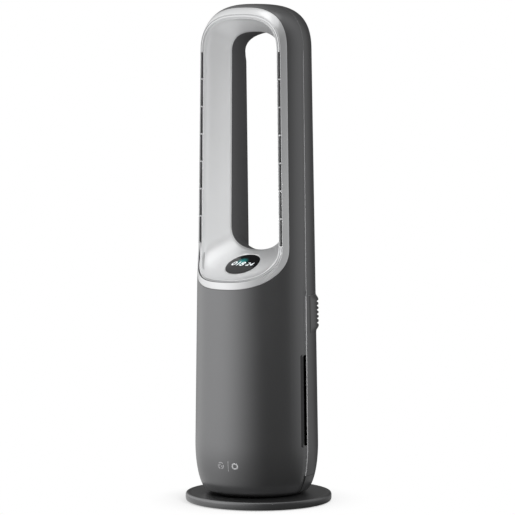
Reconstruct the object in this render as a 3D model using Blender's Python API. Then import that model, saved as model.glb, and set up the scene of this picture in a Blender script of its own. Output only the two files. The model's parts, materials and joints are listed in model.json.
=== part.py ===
"""Air purifier fan: a slim tower with an open outlet loop that turns on a round base.

Metres, +Z up. The origin is the centre of the base at the level of the floor, and the front faces -Y.
The tower's pieces are drawn about its turning axis and then hung under an empty on that axis.
"""

import math

import bmesh
import bpy
import numpy as np
from mathutils import Matrix, Vector

MM = 0.001

# Overall
HEIGHT = 1050 * MM              # floor to the top of the loop
AXIS_FORWARD = 6 * MM           # turning axis in front of the base's centre
GAP = 0.3 * MM                  # between pieces that touch
SEAM = 0.6 * MM                 # between shells that meet in the open
SIDES = 40                      # facets round the tower and the base
INNER_SIDES = 24                # facets round the pieces inside

# Base
BASE_RADIUS = 155 * MM
BASE_HEIGHT = 20 * MM           # floor to the top of the base
BASE_WALL = 2.5 * MM
RIM_BULGE = 6 * MM              # how far the rounded rim stands out
RIM_POWER = 3.2                 # superellipse of the rim
RIM_DROP = 1.2 * MM             # crease at the rim, below the top of the base
CREASE_INSET = 1.5 * MM         # from the end of the rounded rim to the crease
CREASE_WIDTH = 1 * MM
CREASE_RISE = 0.4 * MM
FOOT_HEIGHT = 1.2 * MM
FOOT_RADIUS = 9 * MM
FOOT_MARGIN = 30 * MM           # rim of the base to the middle of a foot
FOOT_COUNT = 4
PLATE_THICKNESS = 3 * MM
WEIGHT_HEIGHT = 8 * MM
WEIGHT_INNER = 75 * MM
BOSS_MARGIN = 16 * MM           # rim of the base to the middle of a screw
BOSS_RADIUS = 4.5 * MM
SCREW_RADIUS = 1.5 * MM
SCREW_LENGTH = 9 * MM
SCREW_HEAD_RADIUS = 3 * MM
SCREW_HEAD_HEIGHT = 1.6 * MM
INLET_RADIUS = 5 * MM
INLET_LENGTH = 14 * MM

# Swivel
NECK_RADIUS = 58 * MM
NECK_WALL = 6 * MM
NECK_PLAY = 4 * MM              # neck to the hole in the base
SLIDE_HEIGHT = 2 * MM
SLIDE_WIDTH = 9 * MM
RETAINER_WIDTH = 10 * MM
RETAINER_THICKNESS = 2 * MM
RETAINER_PLAY = 2 * MM          # retainer to the underside of the base
GEAR_TEETH = 30                 # teeth of the fixed gear
PINION_TEETH = 10
TOOTH_MODULE = 1.8 * MM
TOOTH_PLAY = 0.5 * MM
# Outline of a tooth: share of the pitch, height in modules
TOOTH_FORM = ((-0.30, -1.2), (-0.15, 1.0), (0.15, 1.0), (0.30, -1.2))
GEAR_HEIGHT = 8 * MM
GEAR_BORE = 12 * MM
PINION_SHAFT = 2.5 * MM
SWIVEL_MOTOR_RADIUS = 14 * MM
SWIVEL_MOTOR_HEIGHT = 19 * MM

# Tower body
TOWER_LIFT = 3 * MM             # top of the base to the underside of the tower
TOWER_RADIUS = 130.2 * MM
RADIUS_LEVEL = 120 * MM         # height at which that radius is measured
TAPER = 0.0155                  # radius lost per height
LEAN = 0.00474                  # how far the centre moves forward per height
FOOT_ROUND_TOP = 130 * MM       # height where the foot's rounding begins
FOOT_ROUND_DROP = 106 * MM      # height of the whole quarter curve
FOOT_INSET = 30 * MM            # how far that curve draws in
SHELL_WALL = 2.5 * MM
SEAM_Y = 3 * MM                 # parting plane between the front shell and the rear pieces
SKIRT_HEIGHT = 62 * MM          # top of the rear skirt
COVER_TOP = 442 * MM            # top of the rear cover
TUB_FLOOR = 3 * MM

# Top of the loop
DOME_HEIGHT = 105 * MM          # depth of the rounded top
DOME_POWER = 2.7                # superellipse of the top corners
FRONT_PLANE = 60.5 * MM         # front face of the loop, in front of the axis
REAR_PLANE = 74 * MM            # rear face of the loop's top bar
CREST = 8 * MM                  # highest line of the top, in front of the axis
FRONT_DROP = 22 * MM            # how much lower the top is at the front face
REAR_DROP = 14 * MM             # and at the rear face

# Silver band, outlet ring and slots
BAND_DEPTH = 45 * MM            # plane of the band's outer edge, in front of the axis
BAND_REACH = 20 * MM            # plane that the band stays in front of
BAND_LOW_WIDTH = 15.3 * MM      # band below the ring at the front
BAND_LAG = 3 * MM               # how far below the ring's the band's straight sides end
BAND_POWER = 2.8
RING_BOTTOM = 472.3 * MM
RING_SIDE = 548 * MM            # height where the ring's straight sides end
RING_WIDTH = 8 * MM
RING_LOW_WIDTH = 2.7 * MM       # width where the ring runs out at the bottom
RING_POWER = 2.9
RING_DEPTH = 10 * MM
RING_RECESS = 4 * MM            # how far the lower ring lies below the tower's surface
RING_BLEND = 48 * MM            # height in which the flat ring turns to follow the tower
SLOT_WIDTH = 6.6 * MM
SLOT_RIM = 0.6 * MM             # ring left outside the slot
SLOT_COUNT = 7
SLOT_RIB = 2.8 * MM
SLOT_OVER = 4 * MM              # how far the slots run up into the top's corner

# Inside of the loop
THROAT_Y_TOP = -6 * MM          # depth of the narrowest place behind the axis, above
THROAT_Y_BOTTOM = 1 * MM        # and below
COLUMN_WIDTH = 42 * MM          # ring's outer edge to the throat
TOP_BAR = 58.2 * MM             # top of the tower to the throat
FLOOR_RISE = 61.9 * MM          # bottom of the ring to the floor at the throat
THROAT_CORNER_TOP = 45 * MM     # height of the corners
THROAT_CORNER_BOTTOM = 47.5 * MM
THROAT_POWER_TOP = 2.6
THROAT_POWER_BOTTOM = 2.3
LINER_BEND = 0.31               # share of the depth in which the liner bends inward from square
LINER_WALL = 1.6 * MM
REAR_SPREAD_TOP = 23 * MM       # how much wider the rear opening is than the throat
REAR_SPREAD_BOTTOM = 18 * MM
REAR_BAR = 57.5 * MM            # top of the tower to the rear opening
REAR_FALL = 31 * MM             # floor at the throat to the rear opening
REAR_POWER_TOP = 2.2
REAR_POWER_BOTTOM = 2.6
REAR_FLARE = 1.5                # power that bows the rear wall
REAR_CORNER_TOP = 41 * MM
REAR_CORNER_BOTTOM = 30 * MM
REAR_WALL = 2.2 * MM
NOZZLE_WALL = 1.5 * MM
NOZZLE_REACH = 62 * MM          # how far a nozzle sheet runs back from the ring
NOZZLE_INNER = 6 * MM           # its front edge, inward of the ring's outer edge
NOZZLE_BOW = 3 * MM             # how far its middle stands further out
NOZZLE_SLANT = 2 * MM           # and its rear edge

# Display on the loop's floor
DISPLAY_RADIUS = 38 * MM
DISPLAY_Y = -50.6 * MM
DISPLAY_THICKNESS = 2.2 * MM
DISPLAY_BOARD = 1.6 * MM

# Side intakes
INTAKE_BOTTOM = 128 * MM
INTAKE_TOP = 318 * MM
INTAKE_WIDTH = 6.4 * MM         # slot in front of the axis plane
SCOOP_WIDTH = 13 * MM           # tapered recess in front of the slot
SCOOP_DEPTH = 1.7 * MM
SCOOP_SLANT = 8 * MM            # how far the recess is shorter at its shallow edge
SCOOP_END = 4 * MM              # its width at the very ends

# Grip band on the rear cover
GRIP_HEIGHT = 79 * MM
GRIP_RAISE = 5.7 * MM
GRIP_START = 1                  # facets of the tower from its side to the band's end
GRIP_RIBS = 7
GRIP_MARGIN = 11.3 * MM         # bottom of the band to the middle of the lowest rib
GRIP_PITCH = 9.2 * MM
GRIP_GROOVE = 3 * MM
GRIP_END = 1.1 * MM             # how far its ends stand out

# Slots in the rear cover
VENT_ROWS = 6
VENT_COLUMNS = 4
VENT_HEIGHT = 12 * MM
VENT_WIDTH = 32 * MM
VENT_BOTTOM = 130 * MM
VENT_PITCH = 34 * MM
VENT_ANGLE = 24                 # degrees between columns

# Filter and chassis
CHASSIS_WALL = 2.5 * MM
LOWER_TUBE_RADIUS = 86 * MM
SHELF_HEIGHT = 112 * MM
SHELF_THICKNESS = 3 * MM
HALF_TUBE_RADIUS = 116 * MM
FILTER_RADIUS = 95 * MM
FILTER_BORE = 62 * MM
FILTER_HEIGHT = 206 * MM
FILTER_CAP = 3 * MM
FILTER_LIP = 2 * MM             # how far the caps stand out over the pleats
SEAL_HEIGHT = 5 * MM
SEAL_WIDTH = 14 * MM
TAB_WIDTH = 28 * MM
TAB_THICKNESS = 1.6 * MM
TAB_HEIGHT = 60 * MM
BOARD_HEIGHT = 58 * MM          # level of the ledge that carries the main board
LEDGE_WIDTH = 8 * MM
BOARD_THICKNESS = 1.6 * MM
COMPONENT_MARGIN = 27 * MM      # edge of the board to the middle of a component
COMPONENTS = ((159, 16 * MM, 12 * MM), (207, 20 * MM, 8 * MM), (32, 14 * MM, 18 * MM),
              (348, 12 * MM, 10 * MM))   # degrees round the board, width and height of each
SUPPLY_SIZE = (70 * MM, 46 * MM, 28 * MM)
SENSOR_SIZE = (38 * MM, 14 * MM, 30 * MM)
SENSOR_BOTTOM = 68 * MM

# Fan
PLATE_HEIGHT = 3 * MM           # bellmouth plate
MOUTH_RADIUS = 66 * MM
MOUTH_LIP = 12 * MM
HOUSING_RADIUS = 111 * MM
HOUSING_WALL = 2.5 * MM
HOUSING_HEIGHT = 120 * MM
IMPELLER_RADIUS = 92 * MM
IMPELLER_EYE = 62 * MM
IMPELLER_HEIGHT = 42 * MM
IMPELLER_DISC = 2.2 * MM
DISC_CONE = 2.2 * MM            # how much thicker the disc is at the hub
SHROUD_RISE = 6.6 * MM          # how far the shroud climbs from the eye to the rim
BLADE_INSET = 17.6 * MM         # how far the blades start inside the eye
IMPELLER_LIFT = 17 * MM         # bellmouth plate to the impeller's shroud
IMPELLER_BLADES = 9
BLADE_WALL = 1.6 * MM
BLADE_SWEEP = 38                # degrees that a blade leans back
HUB_RADIUS = 14 * MM
HUB_HEIGHT = 24 * MM
SHAFT_RADIUS = 3 * MM
SHAFT_HOLE = 4.5 * MM           # hole for the shaft in the motor's case
LEDGE_LIFT = 64 * MM            # bellmouth plate to the diffuser's ledge
DIFFUSER_HEIGHT = 50 * MM
DIFFUSER_WALL = 2.4 * MM
DIFFUSER_VANES = 7
LEDGE_REACH = 7.2 * MM          # how far the ledge under the diffuser stands in
MOTOR_RADIUS = 33 * MM
MOTOR_HEIGHT = 40 * MM
MOTOR_WALL = 2 * MM
MOUNT_WALL = 3 * MM
ROTOR_RADIUS = 13 * MM
ROTOR_GAP = 0.7 * MM
STATOR_HEIGHT = 24 * MM
BEARING_RADIUS = 9 * MM
BEARING_HEIGHT = 5 * MM
DIVIDER_WIDTH = 72 * MM
DIVIDER_LENGTH = 84 * MM
DIVIDER_HEIGHT = 34 * MM
DIVIDER_BASE = 3 * MM
MAGNET_RADIUS = 5 * MM
MAGNET_HEIGHT = 10 * MM
MAGNET_ANGLE = 55               # degrees behind the side of the tower

# Places that follow from the sizes above
FOOT_CIRCLE = BASE_RADIUS - FOOT_MARGIN
BOSS_CIRCLE = BASE_RADIUS - BOSS_MARGIN
PLATE_BOTTOM = FOOT_HEIGHT + GAP
PLATE_TOP = PLATE_BOTTOM + PLATE_THICKNESS
COVER_UNDERSIDE = BASE_HEIGHT - BASE_WALL
NECK_BOTTOM = PLATE_TOP + GAP + SLIDE_HEIGHT + GAP
TOWER_BOTTOM = BASE_HEIGHT + TOWER_LIFT
TUB_TOP = TOWER_BOTTOM + TUB_FLOOR
DISC_BOTTOM = TUB_TOP + GAP
DISC_TOP = DISC_BOTTOM + TUB_FLOOR
SHELF_TOP = SHELF_HEIGHT + SHELF_THICKNESS
FILTER_BOTTOM = SHELF_TOP + GAP
FILTER_TOP = FILTER_BOTTOM + FILTER_HEIGHT
SEAL_BOTTOM = FILTER_TOP + GAP
MOUTH_BOTTOM = SEAL_BOTTOM + SEAL_HEIGHT + GAP
MOUTH_TOP = MOUTH_BOTTOM + PLATE_HEIGHT
HOUSING_BOTTOM = MOUTH_TOP + GAP
HOUSING_TOP = HOUSING_BOTTOM + HOUSING_HEIGHT
IMPELLER_BOTTOM = MOUTH_TOP + IMPELLER_LIFT
IMPELLER_TOP = IMPELLER_BOTTOM + IMPELLER_HEIGHT
LEDGE_BOTTOM = MOUTH_TOP + LEDGE_LIFT
DIFFUSER_BOTTOM = LEDGE_BOTTOM + DIFFUSER_WALL + GAP
DIFFUSER_TOP = DIFFUSER_BOTTOM + DIFFUSER_HEIGHT
MOUNT_RADIUS = MOTOR_RADIUS + GAP + MOUNT_WALL
CUP_RADIUS = MOUNT_RADIUS + GAP
MOTOR_BOTTOM = DIFFUSER_BOTTOM + DIFFUSER_WALL + GAP
MOTOR_TOP = MOTOR_BOTTOM + MOTOR_HEIGHT
DOME_START = HEIGHT - DOME_HEIGHT
SLOT_TOP = DOME_START + SLOT_OVER
BAND_SIDE = RING_SIDE - BAND_LAG
BAND_BOTTOM = RING_BOTTOM - BAND_LOW_WIDTH
THROAT_TOP = HEIGHT - TOP_BAR
THROAT_BOTTOM = RING_BOTTOM + FLOOR_RISE
REAR_TOP = HEIGHT - REAR_BAR
REAR_BOTTOM = THROAT_BOTTOM - REAR_FALL
GRIP_TOP = COVER_TOP - SEAM
GRIP_BOTTOM = GRIP_TOP - GRIP_HEIGHT
PINION_DISTANCE = TOOTH_MODULE * (GEAR_TEETH + PINION_TEETH) / 2
GEAR_BOTTOM = PLATE_TOP + GAP

# Points along an outline
TOP_STEPS = 6
SIDE_STEPS = 2
FOOT_STEPS = 5
BOTTOM_STEPS = 6
WALL_STATIONS = 4
RIM_STEPS = 6


# Form of the tower

def tower_radius(z):
    """Radius at a height: a straight taper, drawn in by a quarter ellipse at the foot."""
    straight = TOWER_RADIUS - TAPER * (z - RADIUS_LEVEL)
    drop = np.clip((FOOT_ROUND_TOP - z) / FOOT_ROUND_DROP, 0, 1)
    return straight - FOOT_INSET * (1 - np.sqrt(1 - drop ** 2))


def tower_centre(z):
    """Y of the centre at a height, because the tower leans slightly forward."""
    return -LEAN * z


def top_height(y):
    """Height of the top at a depth: level at the crest, falling with the cube of the distance."""
    front = np.clip((-y - CREST) / (FRONT_PLANE - CREST), 0, 1)
    rear = np.clip((y + CREST) / (REAR_PLANE + CREST), 0, 1)
    return HEIGHT - FRONT_DROP * front ** 3 - REAR_DROP * rear ** 3


def chord(y, z):
    """Half width of the tower at a depth and height."""
    return np.sqrt(tower_radius(z) ** 2 - (y - tower_centre(z)) ** 2)


def face_depth(x, z):
    """Y of the ring's front face: flat up the sides, following the tower round the bottom."""
    blend = np.clip((RING_SIDE - z) / RING_BLEND, 0, 1)
    blend = blend * blend * (3 - 2 * blend)
    radius = tower_radius(z) - RING_RECESS
    round_face = tower_centre(z) - np.sqrt(np.maximum(radius ** 2 - x ** 2, 0))
    return -FRONT_PLANE * (1 - blend) + round_face * blend


def rear_depth(x, z, inset):
    """Y of the tower's rear surface, cut off flat at the rear face of the top bar."""
    radius = tower_radius(z) - inset
    surface = tower_centre(z) + np.sqrt(np.maximum(radius ** 2 - x ** 2, 0))
    return np.where(z > DOME_START, np.minimum(surface, REAR_PLANE - inset), surface)


# Outlines seen from the front

def quarter(half, reach, rise, power, steps):
    """Quarter of an outline: level for a stretch, then a superellipse corner down by rise."""
    angle = np.linspace(0, math.pi / 2, 60)
    x = half - reach + reach * np.sin(angle) ** (2 / power)
    z = rise * np.cos(angle) ** (2 / power) - rise
    x = np.concatenate([[0], x])
    z = np.concatenate([[0], z])
    length = np.concatenate([[0], np.cumsum(np.hypot(np.diff(x), np.diff(z)))])
    even = np.linspace(0, length[-1], steps + 1)
    return np.interp(even, length, x), np.interp(even, length, z)


def loop_outline(half_top, half_bottom, top, bottom, top_corner, bottom_corner):
    """Closed outline of the loop: two corners above, straight sides and two corners below.

    A corner is (reach across, height, superellipse power).
    """
    x_up, z_up = quarter(half_top, *top_corner, TOP_STEPS)
    x_low, z_low = quarter(half_bottom, *bottom_corner, BOTTOM_STEPS)
    share = np.linspace(0, 1, SIDE_STEPS + 1)[1:-1]
    side_top = top + z_up[-1]
    side_bottom = bottom - z_low[-1]
    x = np.concatenate([x_up, half_top + (half_bottom - half_top) * share, x_low[::-1]])
    z = np.concatenate([top + z_up, side_top + (side_bottom - side_top) * share, bottom - z_low[::-1]])
    return np.concatenate([x, -x[-2:0:-1]]), np.concatenate([z, z[-2:0:-1]])


def band_outline(grow=0.0):
    half_top = chord(-BAND_DEPTH, DOME_START) + grow
    half_bottom = chord(-BAND_DEPTH, BAND_SIDE) + grow
    top = top_height(-BAND_DEPTH) + grow
    bottom = BAND_BOTTOM - grow
    return loop_outline(half_top, half_bottom, top, bottom, (half_top, top - DOME_START, DOME_POWER),
                        (half_bottom, BAND_SIDE - bottom, BAND_POWER))


def ring_outline(inset, low_inset):
    """Outline of the ring, drawn in by inset at the sides and top and by low_inset below."""
    half_top = chord(-FRONT_PLANE, DOME_START) - inset
    half_bottom = chord(-FRONT_PLANE, RING_SIDE) - inset
    top = top_height(-FRONT_PLANE) - inset
    bottom = RING_BOTTOM + low_inset
    return loop_outline(half_top, half_bottom, top, bottom, (half_top, top - DOME_START, DOME_POWER),
                        (half_bottom, RING_SIDE - bottom, RING_POWER))


def throat_halves():
    """Half widths of the throat, above and below."""
    return chord(-FRONT_PLANE, DOME_START) - COLUMN_WIDTH, chord(-FRONT_PLANE, RING_SIDE) - COLUMN_WIDTH


def throat_outline():
    half_top, half_bottom = throat_halves()
    return loop_outline(half_top, half_bottom, THROAT_TOP, THROAT_BOTTOM,
                        (half_top, THROAT_CORNER_TOP, THROAT_POWER_TOP),
                        (half_bottom, THROAT_CORNER_BOTTOM, THROAT_POWER_BOTTOM))


def throat_depth(z):
    """Y of the narrowest place at a height."""
    return np.interp(z, (THROAT_BOTTOM, THROAT_TOP), (THROAT_Y_BOTTOM, THROAT_Y_TOP))


def rear_outline(grow=0.0):
    half_top, half_bottom = throat_halves()
    half_top += REAR_SPREAD_TOP + grow
    half_bottom += REAR_SPREAD_BOTTOM + grow
    return loop_outline(half_top, half_bottom, REAR_TOP + grow, REAR_BOTTOM - grow,
                        (half_top, REAR_CORNER_TOP, REAR_POWER_TOP),
                        (half_bottom, REAR_CORNER_BOTTOM, REAR_POWER_BOTTOM))


# Mesh tools

def new_object(name, bm):
    """Object from a bmesh, with its faces pointing out and its round faces shaded smooth."""
    bmesh.ops.recalc_face_normals(bm, faces=bm.faces)
    mesh = bpy.data.meshes.new(name)
    bm.to_mesh(mesh)
    bm.free()
    mesh.shade_smooth()
    mesh.set_sharp_from_angle(angle=math.radians(35))
    item = bpy.data.objects.new(name, mesh)
    bpy.context.scene.collection.objects.link(item)
    return item


def combine(item, tool, operation):
    """Apply an exact Boolean with a tool, and take the tool away."""
    step = item.modifiers.new(operation.title(), "BOOLEAN")
    step.operation = operation
    step.solver = "EXACT"
    step.object = tool
    result = bpy.data.meshes.new_from_object(item.evaluated_get(bpy.context.evaluated_depsgraph_get()))
    item.modifiers.remove(step)
    old = item.data
    item.data = result
    bpy.data.meshes.remove(old)
    bpy.data.objects.remove(tool)
    item.data.shade_smooth()
    item.data.set_sharp_from_angle(angle=math.radians(35))
    item.data.name = item.name
    return item


def cut(item, *tools):
    for tool in tools:
        combine(item, tool, "DIFFERENCE")
    return item


def join(item, *tools):
    for tool in tools:
        combine(item, tool, "UNION")
    return item


def keep(item, *tools):
    for tool in tools:
        combine(item, tool, "INTERSECT")
    return item


def loft(name, rings, closed=False):
    """Skin through rings of points, capped at both ends or closed on itself."""
    bm = bmesh.new()
    rows = [[bm.verts.new(point) for point in ring] for ring in rings]
    count = len(rows[0])
    pairs = list(zip(rows, rows[1:]))
    if closed:
        pairs.append((rows[-1], rows[0]))
    for low, high in pairs:
        for k in range(count):
            bm.faces.new((low[k], low[(k + 1) % count], high[(k + 1) % count], high[k]))
    if not closed:
        bm.faces.new(rows[0])
        bm.faces.new(rows[-1])
    return new_object(name, bm)


def block(name, low, high):
    """Box between two corners."""
    ring = [(low[0], low[1]), (high[0], low[1]), (high[0], high[1]), (low[0], high[1])]
    return loft(name, [[(x, y, low[2]) for x, y in ring], [(x, y, high[2]) for x, y in ring]])


def circle(radius, z, steps, centre=(0, 0)):
    turns = [2 * math.pi * k / steps for k in range(steps)]
    return [(centre[0] + radius * math.cos(t), centre[1] + radius * math.sin(t), z) for t in turns]


def disc(name, radius, bottom, top, centre=(0, 0), steps=24):
    """Upright cylinder."""
    return loft(name, [circle(radius, bottom, steps, centre), circle(radius, top, steps, centre)])


def turned(name, profile, steps=SIDES):
    """Closed profile of (radius, height) turned about the upright axis."""
    bm = bmesh.new()
    verts = [bm.verts.new((radius, 0, z)) for radius, z in profile]
    face = bm.faces.new(verts)
    edges = [edge for edge in face.edges if any(vert.co.xy.length > 0 for vert in edge.verts)]
    bmesh.ops.spin(bm, geom=edges, cent=(0, 0, 0), axis=(0, 0, 1), steps=steps,
                   angle=2 * math.pi, use_duplicate=False)
    bm.faces.remove(face)
    bmesh.ops.remove_doubles(bm, verts=bm.verts, dist=0.01 * MM)
    loose = [edge for edge in bm.edges if not edge.link_faces]
    bmesh.ops.delete(bm, geom=loose, context="EDGES")
    return new_object(name, bm)


def pipe(name, outer, inner, bottom, top, steps=SIDES):
    """Plain ring of a rectangular section."""
    return turned(name, [(inner, bottom), (outer, bottom), (outer, top), (inner, top)], steps)


def prism(name, outline, front, rear):
    """Outline in X and Z carried from one depth to another."""
    x, z = outline
    return loft(name, [list(zip(x, np.full(len(x), y), z)) for y in (front, rear)])


def bend_levels():
    """Heights of the rings that the tower's faceted surface runs through."""
    foot = np.linspace(math.pi / 2, 0, FOOT_STEPS + 1)
    return np.append(FOOT_ROUND_TOP - FOOT_ROUND_DROP * np.sin(foot), DOME_START)


def tower_solid(name, inset, bottom=TOWER_BOTTOM, top=HEIGHT):
    """Solid of the whole tower, drawn in by inset and cut level at bottom and top."""
    turn = np.linspace(0, 2 * math.pi, SIDES, endpoint=False)
    bends = bend_levels()
    levels = [z for z in bends if bottom < z < min(top, DOME_START)]
    rings = []
    for z in [bottom] + levels + [min(top, DOME_START)]:
        radius = np.interp(z, bends, tower_radius(bends)) - inset
        rings.append(np.stack([radius * np.cos(turn), tower_centre(z) + radius * np.sin(turn),
                               np.full(SIDES, z)], axis=1))
    if top < HEIGHT:
        return loft(name, rings)
    radius = tower_radius(DOME_START) - inset
    y = tower_centre(DOME_START) + radius * np.sin(turn)
    y = np.clip(y, -FRONT_PLANE + inset, REAR_PLANE - inset)
    for angle in np.linspace(0, math.pi / 2, TOP_STEPS + 1)[1:]:
        x = radius * np.cos(turn) * math.cos(angle) ** (2 / DOME_POWER)
        rise = (top_height(y) - inset - DOME_START) * math.sin(angle) ** (2 / DOME_POWER)
        rings.append(np.stack([x, y, DOME_START + rise], axis=1))
    item = loft(name, rings)
    bm = bmesh.new()
    bm.from_mesh(item.data)
    caps = [face for face in bm.faces if len(face.verts) == SIDES]
    ridge = [face for face in caps if face.calc_center_median().z > DOME_START]
    bmesh.ops.delete(bm, geom=ridge, context="FACES_ONLY")
    bmesh.ops.remove_doubles(bm, verts=bm.verts, dist=0.05 * MM)
    bmesh.ops.dissolve_degenerate(bm, edges=bm.edges, dist=0.01 * MM)
    bmesh.ops.recalc_face_normals(bm, faces=bm.faces)
    bm.to_mesh(item.data)
    bm.free()
    return item


def tower_skin(name, wall=SHELL_WALL):
    """Hollow shell of the whole tower, open at the bottom."""
    return cut(tower_solid(name, 0), tower_solid("core", wall, TOWER_BOTTOM - 5 * MM))


def region(name, low, high):
    """Box to keep a part of the tower, where None means past the object."""
    far = 2 * HEIGHT
    low = [-far if value is None else value for value in low]
    high = [far if value is None else value for value in high]
    return block(name, low, high)


def surface_rings(outlines, depths):
    """Rings of points from outlines in X and Z and their depths."""
    return [np.stack([x, y, z], axis=1) for (x, z), y in zip(outlines, depths)]


def offset_rings(rings, distance):
    """Rings moved along the surface normal, away from the loop's open middle."""
    grid = np.array(rings)
    along = np.gradient(grid, axis=0)
    around = np.roll(grid, -1, axis=1) - np.roll(grid, 1, axis=1)
    normal = np.cross(around, along)
    normal /= np.linalg.norm(normal, axis=2, keepdims=True)
    outward = grid - grid.mean(axis=1, keepdims=True)
    if (normal * outward).sum() < 0:
        normal = -normal
    return grid + distance * normal


def walled_loft(name, rings, wall, square_end):
    """Closed shell between rings and the same rings moved out by the wall.

    The ring at index square_end keeps one depth through the wall, to meet its neighbour squarely.
    """
    outer = offset_rings(rings, wall)
    outer[square_end][:, 1] = rings[square_end][:, 1]
    return loft(name, list(rings) + list(outer[::-1]), closed=True)


def between(first, second, shares):
    """Outlines that change from one to another."""
    return [tuple(a + (b - a) * share for a, b in zip(first, second)) for share in shares]


def liner_path(share):
    """Share of the way inward at a share of the liner's depth: a parabola, then straight."""
    steep = 1 / (1 - LINER_BEND / 2)
    return np.where(share < LINER_BEND, steep * share ** 2 / (2 * LINER_BEND), 1 - steep * (1 - share))


def gear_ring(radius, teeth, play):
    """Outline of a gear with straight-sided teeth, as (x, y) points."""
    points = []
    for k in range(teeth):
        for share, height in TOOTH_FORM:
            turn = 2 * math.pi * (k + share) / teeth
            reach = radius + height * TOOTH_MODULE - play / 2
            points.append((reach * math.cos(turn), reach * math.sin(turn)))
    return points


# Base

def make_base_cover():
    """Shell with a rounded rim, a shallow crease and a hole for the neck."""
    middle = (PLATE_BOTTOM + BASE_HEIGHT - RIM_DROP) / 2
    rise = middle - PLATE_BOTTOM
    edge = BASE_RADIUS - RIM_BULGE
    profile = [(edge - BASE_WALL, PLATE_BOTTOM)]
    profile += rim_line(edge, RIM_BULGE, middle, rise, RIM_STEPS)
    crease = edge - CREASE_INSET
    crease_level = BASE_HEIGHT - RIM_DROP
    profile += [(crease, crease_level), (crease - CREASE_WIDTH, crease_level + CREASE_RISE)]
    profile += [(NECK_RADIUS / 2, BASE_HEIGHT), (NECK_RADIUS / 2, COVER_UNDERSIDE)]
    inner_rise = rise - BASE_WALL
    profile += rim_line(edge, RIM_BULGE - BASE_WALL, middle, inner_rise, RIM_STEPS // 2)[::-1]
    profile += [(edge - BASE_WALL, middle - inner_rise)]
    item = turned("base_cover", profile)
    hole = disc("hole", NECK_RADIUS + NECK_PLAY, 0, HEIGHT, (0, -AXIS_FORWARD), SIDES)
    cut(item, hole)
    for k in range(FOOT_COUNT):
        place = boss_place(k)
        join(item, disc("boss", BOSS_RADIUS, PLATE_TOP + GAP, COVER_UNDERSIDE + BASE_WALL / 2, place, 12))
        drill_top = PLATE_BOTTOM + SCREW_HEAD_HEIGHT + SCREW_LENGTH + 2 * GAP
        cut(item, disc("drill", SCREW_RADIUS + GAP, 0, drill_top, place, 12))
    inlet_hole = along_y(disc("inlet", INLET_RADIUS + GAP, 0, 2 * INLET_LENGTH, steps=16),
                         BASE_RADIUS - INLET_LENGTH - GAP, inlet_level())
    return cut(item, inlet_hole)


def rim_line(edge, bulge, middle, rise, steps):
    """Rounded rim from its underside to its top, as a superellipse."""
    line = []
    for turn in np.linspace(-math.pi / 2, math.pi / 2, steps + 1):
        out = max(math.cos(turn), 0) ** (2 / RIM_POWER)
        up = math.copysign(abs(math.sin(turn)) ** (2 / RIM_POWER), turn)
        line.append((edge + bulge * out, middle + rise * up))
    return line


def inlet_level():
    return (PLATE_TOP + COVER_UNDERSIDE) / 2


def along_y(item, start, z):
    """Lay an upright piece along +Y, from a depth and at a height."""
    item.data.transform(Matrix.Translation((0, start, z)) @ Matrix.Rotation(-math.pi / 2, 4, "X"))
    return item


def boss_place(k):
    turn = math.radians(45 + 360 * k / FOOT_COUNT)
    return BOSS_CIRCLE * math.cos(turn), BOSS_CIRCLE * math.sin(turn)


def make_base_plate():
    radius = BASE_RADIUS - RIM_BULGE - BASE_WALL - GAP
    item = disc("base_plate", radius, PLATE_BOTTOM, PLATE_TOP, steps=SIDES)
    for k in range(FOOT_COUNT):
        place = boss_place(k)
        head_top = PLATE_BOTTOM + SCREW_HEAD_HEIGHT + 2 * GAP
        cut(item, disc("head", SCREW_HEAD_RADIUS + GAP, 0, head_top, place, 12))
        cut(item, disc("drill", SCREW_RADIUS + GAP, 0, BASE_HEIGHT, place, 12))
    return item


def make_base_screw(k):
    head_bottom = PLATE_BOTTOM + GAP
    head_top = head_bottom + SCREW_HEAD_HEIGHT
    tip = head_top + SCREW_LENGTH
    profile = [(0, head_bottom), (SCREW_HEAD_RADIUS, head_bottom), (SCREW_HEAD_RADIUS, head_top),
               (SCREW_RADIUS, head_top), (SCREW_RADIUS, tip), (0, tip)]
    item = turned("base_screw_%d" % (k + 1), profile, 8)
    item.location = (*boss_place(k), 0)
    return item


def make_foot(k):
    """Rubber pad with a small bevel at its lower edge."""
    bevel = FOOT_HEIGHT / 4
    item = turned("foot_%d" % (k + 1), [(0, 0), (FOOT_RADIUS - bevel, 0), (FOOT_RADIUS, bevel),
                                        (FOOT_RADIUS, FOOT_HEIGHT), (0, FOOT_HEIGHT)], 12)
    turn = 2 * math.pi * k / FOOT_COUNT
    item.location = (FOOT_CIRCLE * math.cos(turn), FOOT_CIRCLE * math.sin(turn), 0)
    return item


def make_base_weight():
    outer = BOSS_CIRCLE - BOSS_RADIUS - GAP
    bottom = PLATE_TOP + GAP
    return pipe("base_weight", outer, WEIGHT_INNER, bottom, bottom + WEIGHT_HEIGHT)


def make_slide_ring():
    bottom = PLATE_TOP + GAP
    top = bottom + SLIDE_HEIGHT
    item = pipe("slide_ring", NECK_RADIUS, NECK_RADIUS - SLIDE_WIDTH, bottom, top, INNER_SIDES)
    return stand_on_axis(item)


def stand_on_axis(item):
    """Place a fixed piece on the tower's turning axis."""
    item.location = (0, -AXIS_FORWARD, 0)
    return item


def make_swivel_gear():
    radius = TOOTH_MODULE * GEAR_TEETH / 2
    points = gear_ring(radius, GEAR_TEETH, TOOTH_PLAY)
    rings = [[(x, y, z) for x, y in points] for z in (GEAR_BOTTOM, GEAR_BOTTOM + GEAR_HEIGHT)]
    item = cut(loft("swivel_gear", rings), disc("bore", GEAR_BORE, 0, HEIGHT, steps=32))
    item.data.transform(Matrix.Rotation(math.pi / 2, 4, "Z"))
    return stand_on_axis(item)


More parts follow.
